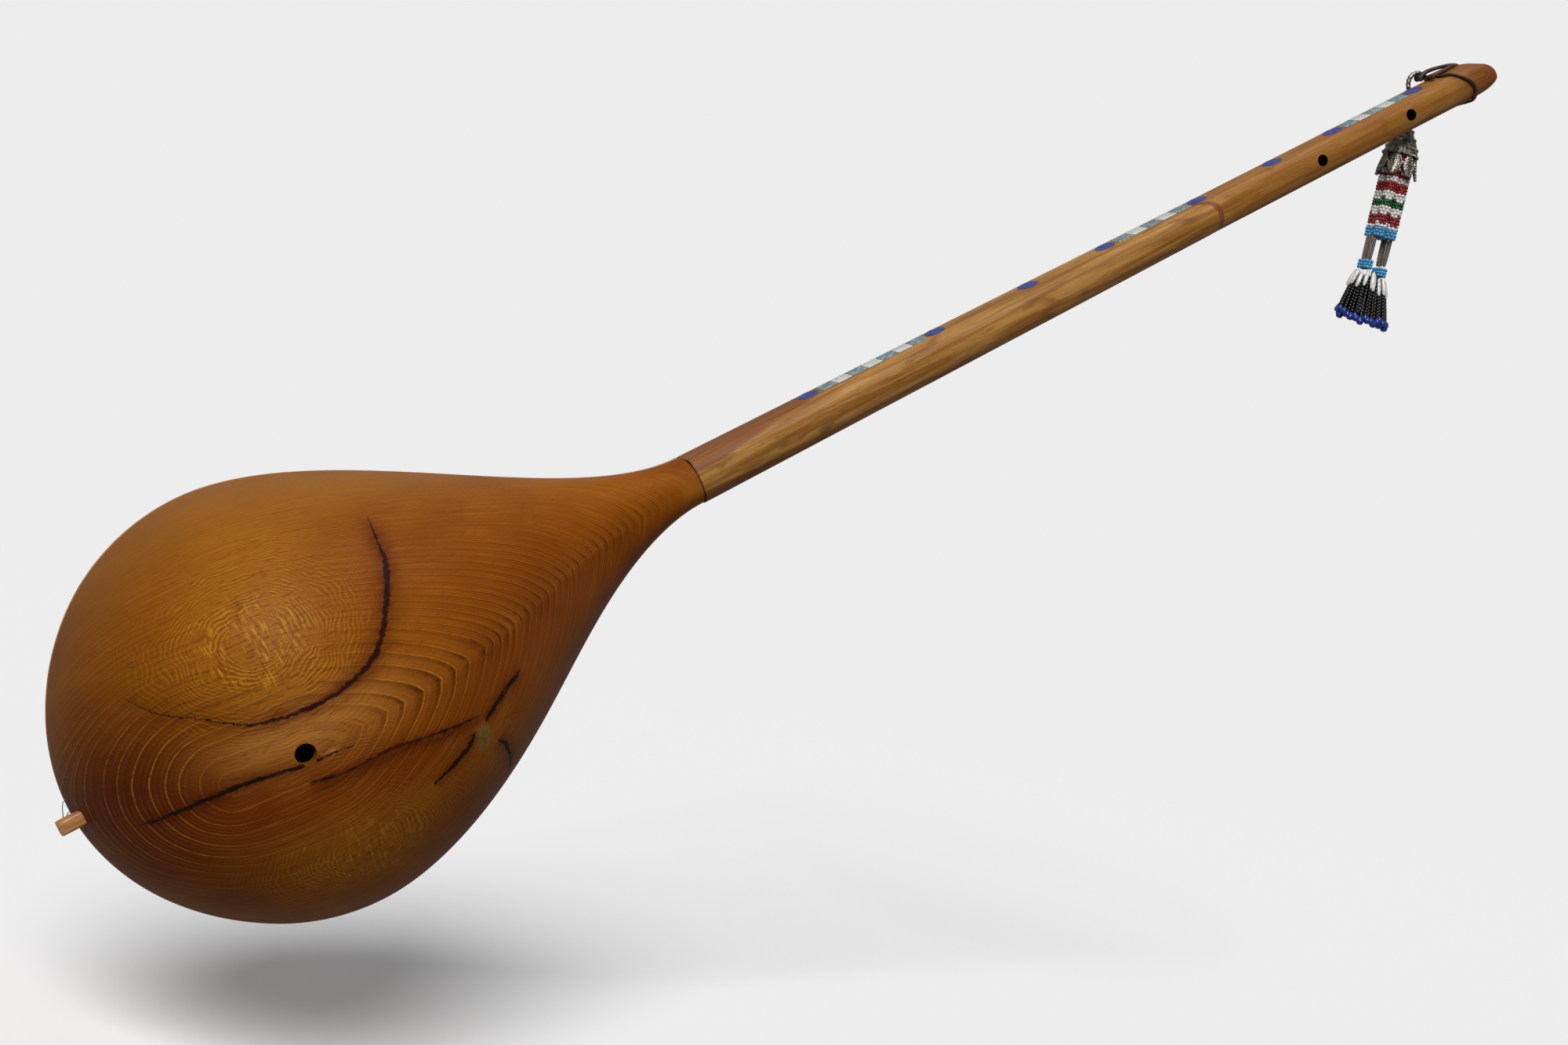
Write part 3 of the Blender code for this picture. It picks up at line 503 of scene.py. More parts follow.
def bowlFields(plan, outer, along, turn):
    # what the finish reads at each point, worked out from three measures in mm:
    # a from the tail, off round from the keel, and ring outwards through the nested loops
    a, off = along.ravel() * 1000, keelArc(outer).ravel() * 1000
    ring, degrees = ringField(plan, a, off), np.degrees(turn.ravel())
    fields = {}
    for name, ((middle, around), (reachAlong, reachAround), strength) in bowlSpots.items():
        fields[name] = strength * bell(a - middle, reachAlong) * bell(degrees - around, reachAround)
    fleck = np.clip(fields.pop("fleckUpper") + fields.pop("fleckLower"), 0, 1)
    stain = sum(fields.pop(name) for name in ("stainTail", "stainMiddle", "stainNeck"))
    below = smooth(-4, -22, off) * smooth(25, 65, a)
    innerLines = bell(ring - 30, 20) * (1 - 0.74 * below)
    outerLines = 0.34 * smooth(48, 60, ring) * (1 - smooth(84, 112, ring)) * (1 - 0.4 * below)
    ridgeRun = smooth(128, 150, a) * (1 - 0.25 * smooth(205, 250, a) - 0.75 * smooth(315, 350, a))
    # band below the ridge: the wood darker and redder, with painted shade added on the side that faces down
    underRun = smooth(140, 180, a) * (1 - smooth(290, 340, a))
    flowers = [np.hypot(a - middle, (off - aside) * stretch) for middle, aside, stretch in plan["flowers"]]
    fields |= {
        "ringIndex": np.interp(ring, plan["ringLines"], np.arange(len(plan["ringLines"]))),
        "offKeel": off / 1000, "flower": np.minimum(*flowers) / 1000,
        "lineShow": np.clip((innerLines + outerLines) * (1 - 0.8 * fleck), 0, 1),
        "ridge": bell(off - 1.5, 7.0) * ridgeRun,
        "underRidge": smooth(1.0, -2.5, off) * bell(np.minimum(off, 0), 17) * underRun,
        "stain": np.clip(stain, 0, 1), "fleck": fleck,
    }
    halos = {"streak": lambda side: bell(side, 6.0), "crack": lambda side: bell(side, 4.0),
             "seam": lambda side: np.maximum(bell(side, 1.1), 0.62 * bell(side - 2.2, 3.6))}
    for name, (members, towards, share, full) in markGroups.items():
        side, wide = markField(plan, [bowlMarks[m] for m in members], outer.reshape(-1, 3), towards)
        fields[name + "Side"] = np.clip(side, -30, 30)
        fields[name + "Wide"] = wide * share
        fields[name + "Halo"] = halos[name](side) * np.clip(wide / full, 0, 1)
    return fields


def makeBowl(plan, look):
    # rows along and columns round the section, hollowed by the same shape drawn in by the wall
    share = np.linspace(0, 1, plan["rows"] + 1)[1:] ** plan["rowPower"]
    even = np.linspace(0, np.pi, plan["columns"] + 1)
    crowded = (0.5 - 0.5 * np.cos(even)) * np.pi  # columns closer together at the rims
    around = crowded * plan["rimCrowd"] + even * (1 - plan["rimCrowd"])
    along, turn = np.meshgrid(share * bowlLength, around, indexing="ij")
    outer = bowlPoint(plan, along, turn)
    fields = bowlFields(plan, outer, along, turn)
    piece = putPiece("bowl_shell", "bowl", carried(skin(outer)), look, attributes=fields)
    inset = plan["wall"]
    innerShare = np.linspace(0, 1, plan["innerRows"] + 1)[1:] ** plan["rowPower"]
    innerTurn = np.linspace(0, np.pi, plan["innerColumns"] + 1)
    innerAlong = inset + innerShare * (bowlLength - plan["heel"] - inset)
    inner = bowlPoint(plan, *np.meshgrid(innerAlong, innerTurn, indexing="ij"), inset)
    lid = np.stack([inner[:, -1], inner[:, 0]], 1) + np.array([0, plan["lidLift"], 0])
    hollow = skin(toWorld(np.concatenate([inner, lid], 1)))
    hole = drill(plan["holeRadius"], plan["holeCut"], upright(plan["holeAt"] - bowlLength))
    lying = lambda p: toWorld(grid(p[..., 2], p[..., 0] - plan["pinDepth"], p[..., 1] + plan["pinAcross"]))
    for cutter in (hollow, hole, drill(plan["pinRadius"], plan["pinCut"], lying)):
        carve(piece, [cutter])
    print("bowl shell", len(piece.data.polygons), "faces")


def markMiddle(wood, name, ragged):  # 1 on a mark's line, 0 beyond its width, which tapers at the ends
    gap = wood.calc("ABSOLUTE", wood.plus(name + "Side", ragged))
    over = wood.calc("DIVIDE", gap, wood.calc("MAXIMUM", name + "Wide", 0.05))
    return wood.times(wood.ease(over, 0.85, 0.30), wood.ease(name + "Wide", 0.05, 0.5))


def mulberryLook():
    wood = Finish("carved mulberry", 0.46, specular=0.06)
    noise, ease, times, plus, coat = wood.noise, wood.ease, wood.times, wood.plus, wood.coat
    along = wood.node("SeparateXYZ", {0: wood.at}).outputs[0]
    wood.at = wood.node("CombineXYZ", {0: along, 1: "offKeel", 2: 0.0}).outputs[0]  # along and round the bowl
    # yearly rings: a thin golden line, with slowly darker wood up to it from inside
    index = plus("ringIndex", wood.about(noise(26, 3), 0.55))
    year, third = wood.calc("FRACT", index), wood.calc("FRACT", times(index, 3.0))
    goldLine = wood.calc("MAXIMUM", ease(year, 0.12, 0.02), ease(year, 0.98, 1.0))
    late = ease(year, 0.30, 0.97)
    fineLine = ease(wood.calc("ABSOLUTE", wood.calc("SUBTRACT", third, 0.5)), 0.10, 0.5)
    broken = noise((70, 420, 1), 2, 0.6)
    patchy = ease(noise(34), 0.36, 0.64)
    # pores run with the grain, flecks circle the two shoulders
    pores = noise((260, 1700, 1), 2, 0.6)
    dashes = noise((170, 760, 1), 1)
    flowerDepth = plus("flower", wood.about(noise(55), 0.012))
    petal = wood.calc("SINE", times(flowerDepth, 2 * math.pi / 0.0022))
    petalZone = times("fleck", ease("flower", 0.008, 0.020), ease(noise(75), 0.38, 0.60, 0.1, 1.0))
    rays = noise((620, 120, 1), 2, 0.55)
    rayZone = times("fleck", ease("flower", 0.040, 0.018), ease(noise(90), 0.40, 0.58, 0.15, 1.0))
    byYears = wood.node("CombineXYZ", {0: times(along, 26), 1: times(index, 4.5), 2: 0.0}).outputs[0]
    threads = noise(1.0, 3, 0.62, at=byYears)
    grit = noise(950, 2, 0.6)
    wood.ground(noise(13, 3), 0.32, 0.70, (126, 62, 8), (148, 83, 15))
    # among these patches is painted shade: the tail's upper-left edge darkened, and in part the band below
    # the ridge
    for name, (strength, colour) in bowlTones.items():
        coat(times(name, strength), colour)
    plain = ease("tailShade", 0.0, 1.0, 1.0, 0.35)
    wood.veil(threads, 0.52, 0.74, 0.46, (96, 44, 7))
    coat(times(plain, ease(threads, 0.48, 0.28, 0.0, 0.36)), (182, 116, 28))
    coat(times(late, plus(times("lineShow", 0.42), 0.10)), (92, 40, 6))
    coat(times(late, late, "ridge", ease(broken, 0.34, 0.58, 0.15, 0.85)), (62, 22, 4))
    coat(times(fineLine, patchy, 0.17), (176, 112, 26))
    coat(times(goldLine, "lineShow", ease(broken, 0.32, 0.64, 0.22, 0.80)), (190, 128, 40))
    coat(times(petalZone, ease(petal, 0.0, 0.9), 0.66), (112, 58, 10))
    coat(times(petalZone, ease(petal, -0.2, -0.95), 0.46), (202, 146, 38))
    coat(times(rayZone, ease(rays, 0.53, 0.64), 0.62), (110, 56, 9))
    coat(times(rayZone, ease(rays, 0.46, 0.36), 0.50), (208, 152, 44))
    coat(times(ease(dashes, 0.56, 0.68), plus(times("fleck", 0.42), 0.12)), (90, 44, 8))
    coat(times(ease(pores, 0.56, 0.72), 0.30), (86, 42, 8))
    coat(times(ease(grit, 0.62, 0.74), plus(times("fleck", 0.28), 0.05)), (214, 164, 80))
    coat(times("sapwood", 0.35), (170, 116, 48))
    # the dark marks: a reddish edge, then the black middle
    ragged = wood.about(noise((230, 480, 1), 4, 0.68), 4.4)
    uneven = ease(noise((60, 330, 1)), 0.25, 0.75, 0.55, 1.15)
    coat(times("streakHalo", uneven, 0.80), (82, 24, 2))
    coat(times(markMiddle(wood, "streak", ragged), 0.93), (30, 12, 12))
    coat(times("seamHalo", uneven), (48, 14, 3))
    coat(times(markMiddle(wood, "seam", ragged), ease(broken, 0.30, 0.55, 0.25, 0.85)), (22, 8, 5))
    grainy = ease(grit, 0.35, 0.68)
    filler = ease(plus("filler", times(ragged, 0.11)), 0.30, 0.66)
    coat(times(filler, 0.85), wood.mix(grainy, (106, 80, 30), (134, 104, 48)))
    chip = ease(plus("chip", times(ragged, 0.16)), 0.40, 0.62)
    coat(times(chip, 0.85), wood.mix(grainy, (176, 112, 56), (206, 146, 84)))
    coat(times("crackHalo", uneven, 0.70), (70, 22, 4))
    crack = times(markMiddle(wood, "crack", ragged), ease(broken, 0.24, 0.46, 0.35, 1.0))
    coat(times(crack, 0.95), (24, 13, 8))
    relief = wood.calc("SUBTRACT", times(pores, -0.4), crack)
    return wood.done(relief, 0.0004, 0.5, (0.42, 0.12, ease(pores, 0.5, 0.75)))


makeBowl(bowlPlan, mulberryLook())


# the soundboard

boardPlan = {"thickness": 0.003, "edge": 0.0004, "middle": (-0.2, 0.0), "gap": 0.0003,
             "rows": 160, "rowPower": 1.5,
             "holeRadius": 0.0026, "holeRing": 0.011, "holesAt": 0.215, "holeCut": (-0.01, 0.01)}


def makeSoundboard(plan, look):
    # plate under the bowl's own outline: two edge lines, each half the width, joined at the tail and the neck
    a = np.linspace(0, 1, plan["rows"] + 1)[1:] ** plan["rowPower"] * (bowlLength - plan["gap"])
    half = np.interp(a, *outlineCurve(bowlPlan))
    out, aside = tailLean(bowlPlan, a)
    x = a - bowlLength + out
    tail = [(bowlPlan["leanAlong"] - bowlLength, bowlPlan["leanAcross"])]
    outline = np.concatenate([tail, grid(x, aside + half), grid(x, aside - half)[::-1]])
    inwards = np.array(plan["middle"]) - outline
    share = plan["edge"] / np.linalg.norm(inwards, axis=1)[:, None]
    drawnIn = outline + inwards * share  # softened front edge
    rows = [(outline, -plan["thickness"]), (outline, -plan["edge"]), (drawnIn, 0.0)]
    points = np.stack([grid(flat[:, 0], y, flat[:, 1]) for flat, y in rows])
    piece = putPiece("soundboard_plate", "soundboard", carried(skin(points)), look)
    ring = [(0.0, 0.0)] + [(plan["holeRing"] * math.cos(t), plan["holeRing"] * math.sin(t)) for t in turns(4)]
    at = plan["holesAt"] - bowlLength
    carve(piece, [drill(plan["holeRadius"], plan["holeCut"], upright(at + x, z), 24) for x, z in ring])


def boardLook():
    wood = Finish("thin soundboard", 0.48)
    pores = wood.noise((150, 1, 1500), 2, 0.6)
    wood.ground(wood.noise((3, 1, 60)), 0.3, 0.7, (176, 128, 70), (198, 152, 92))
    wood.veil(wood.noise((6, 1, 420), 3, 0.6, 0.3), 0.45, 0.72, 0.5, (146, 98, 48))
    wood.veil(pores, 0.58, 0.72, 0.45, (112, 72, 34))
    return wood.done(pores, 0.0002, 0.35)


makeSoundboard(boardPlan, boardLook())
print("soundboard laid")


# neck and head

neckPlan = {"halfJoint": 0.0135, "halfNut": 0.0106, "halfTip": 0.0101,
            "depthJoint": 0.0215, "depthNut": 0.0208, "depthHead": 0.0182,
            "flank": 0.0128, "lean": math.radians(4), "dome": 0.022, "drop": -0.0042,
            "edge": 0.0005, "gap": 0.0003,
            "tongueTip": 0.3535, "tongueBack": 0.0105, "tonguePower": 1.4, "shoulderRun": 0.0050,
            "rowStep": 0.004, "fineFrom": 0.336, "fineTo": 0.358, "fineStep": 0.0006, "headFrom": 0.360,
            # the last pair on the next line is painted shade: how far beyond each peg hole's radius its wall
            # is blackened
            "pegs": (0.4268, 0.4938), "pegHole": 0.0033, "pegCut": (-0.04, 0.02), "holeShade": (0.00020, 0.00004)}


def neckHalf(x):  # half the neck's width: straight from the joint to the nut, and on to the tip
    halves = [neckPlan[name] for name in ("halfJoint", "halfNut", "halfTip")]
    return np.interp(x, (0, neckLength, tipAt), halves)


def neckStep(plan, x, lift):
    # how far down the slanted end of the neck's back a point is: 0 on the neck, 1 on the head
    end = plan["tongueTip"] - plan["tongueBack"] * (1 - lift) ** plan["tonguePower"]
    return np.clip((x - end + plan["shoulderRun"]) / plan["shoulderRun"], 0, 1)


def neckRows(plan):  # places along the neck: closer together at the slanted end and in the dome
    step, dome = plan["rowStep"], tipAt - plan["dome"]
    rounded = dome + plan["dome"] * np.sin(np.linspace(0, np.pi / 2, 22))
    rounded[-1] = tipAt - 0.00002
    return np.concatenate([[plan["gap"], 2 * plan["gap"]], np.arange(step, plan["fineFrom"], step),
                           np.arange(plan["fineFrom"], plan["fineTo"], plan["fineStep"]),
                           np.arange(plan["headFrom"], dome, step), rounded])


def neckSkin(plan):
    # section of a flat front, leaning flanks and an elliptical back, carried along the neck
    # the tip is drawn in to a dome
    x = neckRows(plan)[:, None]
    half, lean, flank, edge = neckHalf(x), math.tan(plan["lean"]), plan["flank"], plan["edge"]
    arc = np.linspace(0, np.pi, 41)[None]
    step = neckStep(plan, x, np.sin(arc))
    depth = np.interp(x, (0, neckLength), (plan["depthJoint"], plan["depthNut"]))
    depth = depth + (plan["depthHead"] - depth) * step
    backY, backZ = -flank - (depth - flank) * np.sin(arc), (half - flank * lean) * np.cos(arc)
    down = edge + np.linspace(0, 1, 8)[None, 1:-1] * (flank - edge)
    upperY, upperZ = -down + 0 * x, half - down * lean
    corner = np.radians([0, 30, 60, 90])[None]
    edgeY, edgeZ = -edge * (1 - np.sin(corner)) + 0 * x, half - edge * (1 - np.cos(corner))
    frontZ = (half - edge) * np.linspace(1, -1, 13)[None, 1:-1]
    frontY = 0 * frontZ
    y = np.concatenate([edgeY, frontY, edgeY[:, ::-1], upperY, backY[:, ::-1], upperY[:, ::-1]], 1)
    z = np.concatenate([edgeZ, frontZ, -edgeZ[:, ::-1], -upperZ, backZ[:, ::-1], upperZ[:, ::-1]], 1)
    stepAll = np.concatenate([0 * edgeY, frontY, 0 * edgeY, 0 * upperY, step[:, ::-1], 0 * upperY], 1)
    share = np.clip((x - tipAt + plan["dome"]) / plan["dome"], 0, 1)
    shrink = np.sqrt(1 - share ** 2)
    middle = -plan["depthHead"] / 2
    y = np.where(share > 0, middle + (y - middle) * shrink, y)
    return skin(grid(x, y, plan["drop"] + (z - plan["drop"]) * shrink)), stepAll.ravel()


def makeNeck(plan, look):  # the end grain shows most where the slanted end is half way down
    made, step = neckSkin(plan)
    slope = {"endGrain": 4 * step * (1 - step)}
    piece = putPiece("neck_and_head", "neck", carried(made), look, sharp=35, attributes=slope)
    carve(piece, [drill(plan["pegHole"], plan["pegCut"], upright(x), 32) for x in plan["pegs"]])
    print("neck and head", len(piece.data.polygons), "faces")


def neckLook(plan):
    wood = Finish("apricot neck", 0.40, specular=0.22)
    noise, ease, times, plus = wood.noise, wood.ease, wood.times, wood.plus
    coat, veil = wood.coat, wood.veil
    x, y, z = wood.node("SeparateXYZ", {0: wood.at}).outputs
    long, fine = noise((14, 300, 300), 3, 0.6, 0.4), noise((32, 1000, 1000), 3, 0.6, 0.3)
    pores = noise((260, 2200, 2200), 2, 0.6)
    wood.ground(long, 0.35, 0.68, (138, 88, 32), (182, 134, 70))
    veil(x, 0.350, 0.362, 0.55, (146, 90, 30))  # head
    veil(x, 0.522, 0.556, 0.80, (118, 52, 8))  # tip
    veil(noise((42, 130, 130), 3, 0.55, 0.6), 0.55, 0.70, 0.58, (112, 66, 20))
    # heartwood along both flanks at the foot, narrowing away from the joint
    across = plus(z, wood.about(long, 0.006))
    upper = wood.calc("SUBTRACT", across, plus(times(x, 0.085), 0.0050))
    lower = wood.calc("SUBTRACT", times(across, -1.0), plus(times(x, 0.075), 0.0046))
    heart = ease(wood.calc("MAXIMUM", upper, lower), -0.0004, 0.0010)
    coat(times(heart, ease(x, 0.125, 0.085), 0.78), (118, 62, 24))
    veil("endGrain", 0.05, 0.35, 0.85, (122, 62, 26))
    veil(fine, 0.54, 0.74, 0.36, (104, 60, 20))
    veil(fine, 0.46, 0.28, 0.26, (190, 142, 78))
    veil(pores, 0.58, 0.74, 0.45, (88, 50, 18))
    veil(x, 0.0011, 0.0005, 0.85, (44, 22, 10))  # glue line at the joint
    for peg in plan["pegs"]:  # the wall of each peg hole, black: painted shade inside the hole
        fromPeg = wood.node("CombineXYZ", {0: wood.calc("SUBTRACT", x, peg), 1: 0.0, 2: z}).outputs[0]
        away = wood.node("VectorMath", {0: fromPeg}, operation="LENGTH").outputs["Value"]
        coat(ease(away, *(plan["pegHole"] + beyond for beyond in plan["holeShade"])), (10, 6, 4))
    return wood.done(pores, 0.0002, 0.3)


makeNeck(neckPlan, neckLook(neckPlan))


# inlays on the flanks

inlayPlan = {"radius": 0.0060, "tip": 0.0003, "thick": 0.0012, "proud": 0.00025,
             "neckShares": (0.231, 0.469, 0.649, 0.803, 0.990), "headShares": (0.240, 0.450, 0.735),
             "strips": ((0, 1), (3, 4), (6, 7)), "tablets": (7, 5, 5), "height": 0.0105, "gap": 0.0009,
             "grout": 0.00035, "corner": 0.0008, "bedEdge": 0.0001, "tabletEdge": 0.0003}
flanks = {"upper": 1, "lower": -1}


def onFlank(points, x, side):
    # (along, across, outwards) points laid on a flank: axes from the neck's taper and the flank's lean
    slope = side * (neckHalf(x + 0.0005) - neckHalf(x - 0.0005)) / 0.001
    lean, middle = math.tan(neckPlan["lean"]), neckPlan["flank"] / 2
    along = np.array([1, 0, slope]) / np.linalg.norm([1, 0, slope])
    across = np.array([0, side, lean]) / np.linalg.norm([0, side, lean])
    centre = np.array([x, -middle, side * (neckHalf(x) - middle * lean)])
    return toWorld(centre + points @ np.array([along, across, np.cross(along, across)]))


def markerPlaces(plan):  # shares of the neck's and the head's length, as places along them
    head = tipAt - neckLength
    return [s * neckLength for s in plan["neckShares"]] + [neckLength + s * head for s in plan["headShares"]]


def makeMarkers(plan, look):  # low domes turned about the flank's outward line
    r, top = plan["radius"], plan["proud"]
    profile = [(r, -plan["thick"]), (r, top * 0.3), (r * 0.97, top * 0.8), (r * 0.85, top),
               (r * 0.4, top * 1.15), (plan["tip"], top * 1.2)]
    for label, side in flanks.items():
        for number, x in enumerate(markerPlaces(plan), 1):
            made = lathe(profile, lambda p: onFlank(p, x, side), 36)
            putPiece(f"marker_disc_{label}_{number}", f"marker_{label}_{number}", made, look)


def slab(plan, middle, length, height, low, high, edge):
    # rounded rectangle carried from low to high, drawn in by edge at the top
    c, s = np.cos(turns(24)), np.sin(turns(24))
    corner = plan["corner"]
    rows = [(0, low), (0, high - edge), (edge * 0.35, high - edge * 0.3), (edge, high)]
    inset, level = np.array(rows).T[..., None]
    along = np.sign(c) * (length / 2 - corner - inset) + c * corner
    across = np.sign(s) * (height / 2 - corner - inset) + s * corner
    return skin(grid(along + middle, across, level))


def makeMosaics(plan, look):
    # a dark bed with tablets in turn of two kinds; tint: 0 teal, 1 pale, 2 bed
    places, thick, grout = markerPlaces(plan), plan["thick"], plan["grout"]
    for label, side in flanks.items():
        for number, ((first, second), count) in enumerate(zip(plan["strips"], plan["tablets"]), 1):
            length = places[second] - places[first] - 2 * plan["radius"] - 2 * plan["gap"]
            pitch = length / count
            skins = [slab(plan, 0.0, length, plan["height"], -thick, plan["proud"] * 0.2, plan["bedEdge"])]
            for i in range(count):
                skins.append(slab(plan, (i + 0.5) * pitch - length / 2, pitch - grout, plan["height"] - grout,
                                  -thick * 0.5, plan["proud"], plan["tabletEdge"]))
            tints = np.repeat([2.0] + [float(i % 2) for i in range(count)], len(skins[0][0]))
            points, faces = gather(skins)
            made = onFlank(points, (places[first] + places[second]) / 2, side), faces
            putPiece(f"mosaic_strip_{label}_{number}", f"mosaic_{label}_{number}", made, look,
                     attributes={"tint": tints})


def blueLook():
    stone = Finish("blue inlay", 0.30)
    cloud = stone.noise(260, 3, 0.6)
    stone.ground(cloud, 0.35, 0.7, (41, 49, 122), (59, 70, 148))
    stone.veil(stone.noise(1500, 2, 0.6), 0.60, 0.75, 0.5, (28, 32, 88))
    return stone.done(cloud, 0.0002, 0.25)


def pearlLook():
    pearl = Finish("pearl mosaic", 0.22)
    swirl, fine = pearl.noise(210, 4, 0.6, 1.6), pearl.noise(900, 2, 0.6, 0.5)
    pearl.ground(swirl, 0.40, 0.66, (98, 126, 132), (160, 182, 186))
    pearl.veil(fine, 0.58, 0.70, 0.7, (66, 92, 102))
    pale = pearl.mix(pearl.ease(swirl, 0.35, 0.68), (196, 204, 206), (226, 228, 226))
    pearl.coat(pearl.ease("tint", 0.4, 0.6), pale)
    pearl.coat(pearl.ease("tint", 1.4, 1.6), (74, 50, 34))
    return pearl.done(swirl, 0.0001, 0.3, (0.16, 0.18, fine))


makeMarkers(inlayPlan, blueLook())
makeMosaics(inlayPlan, pearlLook())
print("inlays laid")


# frets, nut, bridge and strings

frontPlan = {"scale": 0.615, "frets": 13, "fretHalf": 0.0006, "fretRise": 0.0009, "fretSeat": 0.0010,
             "fretMargin": 0.0030, "dipDepth": 0.0003, "dipReach": 0.0005,
             "nutThick": 0.0040, "nutRise": 0.0040, "nutSeat": 0.0012, "nutMargin": 0.0028, "nutEnd": 0.001,
             "nutPower": 0.55, "nutStrings": 0.0055,
             "bridgeAt": -0.265, "bridgeHeight": 0.0120, "bridgeFoot": 0.018, "bridgeTop": 0.009,
             "bridgeThick": 0.0050, "bridgeEnd": 0.0006, "bridgePower": 0.35,
             "bridgeStrings": 0.006, "gap": 0.0003}
# a fret's rounding: share of its half length, share of its full size
fretEnds = ((-1, 0.45), (-0.992, 0.72), (-0.97, 0.93), (-0.9, 1), (0, 1),
            (0.9, 1), (0.97, 0.93), (0.992, 0.72), (1, 0.45))


def stringDips(plan, z, aside):  # two shallow dips where the strings lie
    return plan["dipDepth"] * (bell(z - aside, plan["dipReach"]) + bell(z + aside, plan["dipReach"]))


def makeFrets(plan, look):
    # half round bar across the neck: a semicircle above a straight seat, its ends rounded off
    half, rise, seat = plan["fretHalf"], plan["fretRise"], plan["fretSeat"]
    turn = np.linspace(0, np.pi, 9)
    aside = np.append(np.cos(turn) * half, [-half * 0.8, half * 0.8])
    up = np.append(np.sin(turn) * rise, [-seat, -seat])
    share, full = np.array(fretEnds).T[..., None]
    for number in range(1, plan["frets"] + 1):
        x = neckLength - plan["scale"] * (1 - 2 ** (-number / 12))
        reach = neckHalf(x) - plan["fretMargin"]
        points = grid(x + aside * full, np.where(up > 0, up * full, up), reach * share)
        putPiece(f"fret_wire_{number:02d}", f"fret_{number:02d}", carried(skin(points)), look)


def makeNut(plan, look):
    # rounded section across the neck, lower at its ends and where the strings lie
    reach, half = neckHalf(neckLength) - plan["nutMargin"], plan["nutThick"] / 2
    z = np.linspace(-reach, reach, 61)[:, None]
    across, up = squarish(np.linspace(0, np.pi, 13), plan["nutPower"])
    endRound = 1 - np.clip((np.abs(z) - reach + plan["nutEnd"]) / plan["nutEnd"], 0, 1) ** 2 * 0.35
    top = plan["nutRise"] * endRound - stringDips(plan, z, plan["nutStrings"])
    y = np.concatenate([top * up, np.full((len(z), 2), -plan["nutSeat"])], 1)
    x = np.append(across * half, [-half, half]) + neckLength
    putPiece("nut_block", "nut", carried(skin(grid(x, y, z))), look)


def makeBridge(plan, look):
    # upright arch: for each place across, a rounded section from the arch's underside to its top line
    foot, top, high, end = (plan["bridge" + name] for name in ("Foot", "Top", "Height", "End"))
    corner = end * (1 - np.cos(np.linspace(0, np.pi / 2, 6)))
    flat = np.linspace(-foot + 2 * end, foot - 2 * end, 89)
    z = np.concatenate([-foot + corner, flat, foot - corner[::-1]])[:, None]
    a = np.abs(z)
    upper = np.interp(a, (0, top * 0.9, top * 1.1, foot * 0.75, foot),
                      (high, high - 0.0001, high - 0.0008, high * 0.58, 0.0016))
    lower = plan["gap"] + high * 0.38 * np.clip(1 - (a / top) ** 3.0, 0, 1) ** 0.6
    across, rise = squarish(turns(28), plan["bridgePower"])
    dip = stringDips(plan, z, plan["bridgeStrings"]) * (rise > 0.9)
    y = (upper + lower) / 2 + (upper - lower) / 2 * rise - dip
    thin = plan["bridgeThick"] / 2 * (1 - 0.38 * y / high)
    points = grid(plan["bridgeAt"] + across * thin, y, z)
    putPiece("bridge_arch", "bridge", carried(skin(points)), look)


def steelLook():
    metal = Finish("drawn steel", 0.28, 1.0)
    wear = metal.noise(700, 3, 0.6)
    metal.ground(wear, 0.35, 0.7, (184, 182, 176), (214, 213, 208))
    return metal.done(metal.noise((4000, 300, 300)), 0.00005, 0.3, (0.20, 0.18, wear))


def darkWoodLook(name, dark, light, grain=(20, 500, 500), holeShade=None):
    wood = Finish(name, 0.38)
    pores = wood.noise(tuple(v * 4 for v in grain), 2, 0.6)
    wood.ground(wood.noise(grain, 3, 0.6, 0.5), 0.35, 0.7, dark, light)
    wood.veil(pores, 0.58, 0.72, 0.5, tuple(v * 0.4 for v in linear(dark)[:3]) + (1.0,))
    if holeShade:  # end deep in the head, black: painted shade inside the peg hole
        wood.coat(wood.ease(wood.node("SeparateXYZ", {0: wood.at}).outputs[1], *holeShade), (10, 7, 5))
    return wood.done(pores, 0.0002, 0.3)


steel = steelLook()
# the peg's end deep inside its hole is blackened as painted shade
pegWood = darkWoodLook("peg wood", (92, 46, 22), (128, 70, 36), holeShade=(-0.004, -0.009))
makeFrets(frontPlan, steel)
makeNut(frontPlan, pegWood)
makeBridge(frontPlan, pegWood)
for name in ("string_1", "string_2"):  # these solids keep their shape and get a finish in their own slots
    for slot in nodes[name].material_slots:
        slot.material = steel
print("frets, nut, bridge and strings done")


# pegs, windings and the tail pin

pegPlan = {"radius": 0.0030, "seat": 0.0120, "neck": 0.0098, "length": 0.020,
           "width": 0.0072, "height": 0.0120,
           "wireRadius": 0.00026, "windRadius": 0.0036, "windLow": 0.0018, "windHigh": 0.0043, "turns": 5,
           "collar": ((1, 0.0008), (1.10, 0.0012), (1.22, 0.0018), (1.22, 0.0024), (1.08, 0.0029))}
# the pin's shape: from its outer end along the tail, and its size there as a share of half its width
pinPlan = {"half": 0.0036, "depth": 0.026, "across": -0.0055, "outer": -0.3725, "squareness": 0.38,
           "shape": ((0, 0.86), (0.0002, 0.95), (0.0006, 1.02), (0.006, 1.03), (0.012, 1.0), (0.022, 0.97))}


def pegHandle(plan, x):
    # ellipse carried along the neck's line, its size the fourth-power swell, waisted in the middle
    share = np.concatenate([[-1], -np.cos(np.linspace(0.12, np.pi - 0.12, 31)), [1]])[:, None]
    swell = np.sqrt(np.clip(1 - share ** 4 * 0.9, 0, 1)) * (1 - 0.10 * bell(share, 0.28))
    tall, wide, turn = plan["height"] / 2, plan["width"] / 2, turns(32)
    rise = tall * swell * np.sin(turn) + plan["neck"] + tall
    return skin(grid(x + plan["length"] / 2 * share, rise, wide * swell * np.cos(turn)))


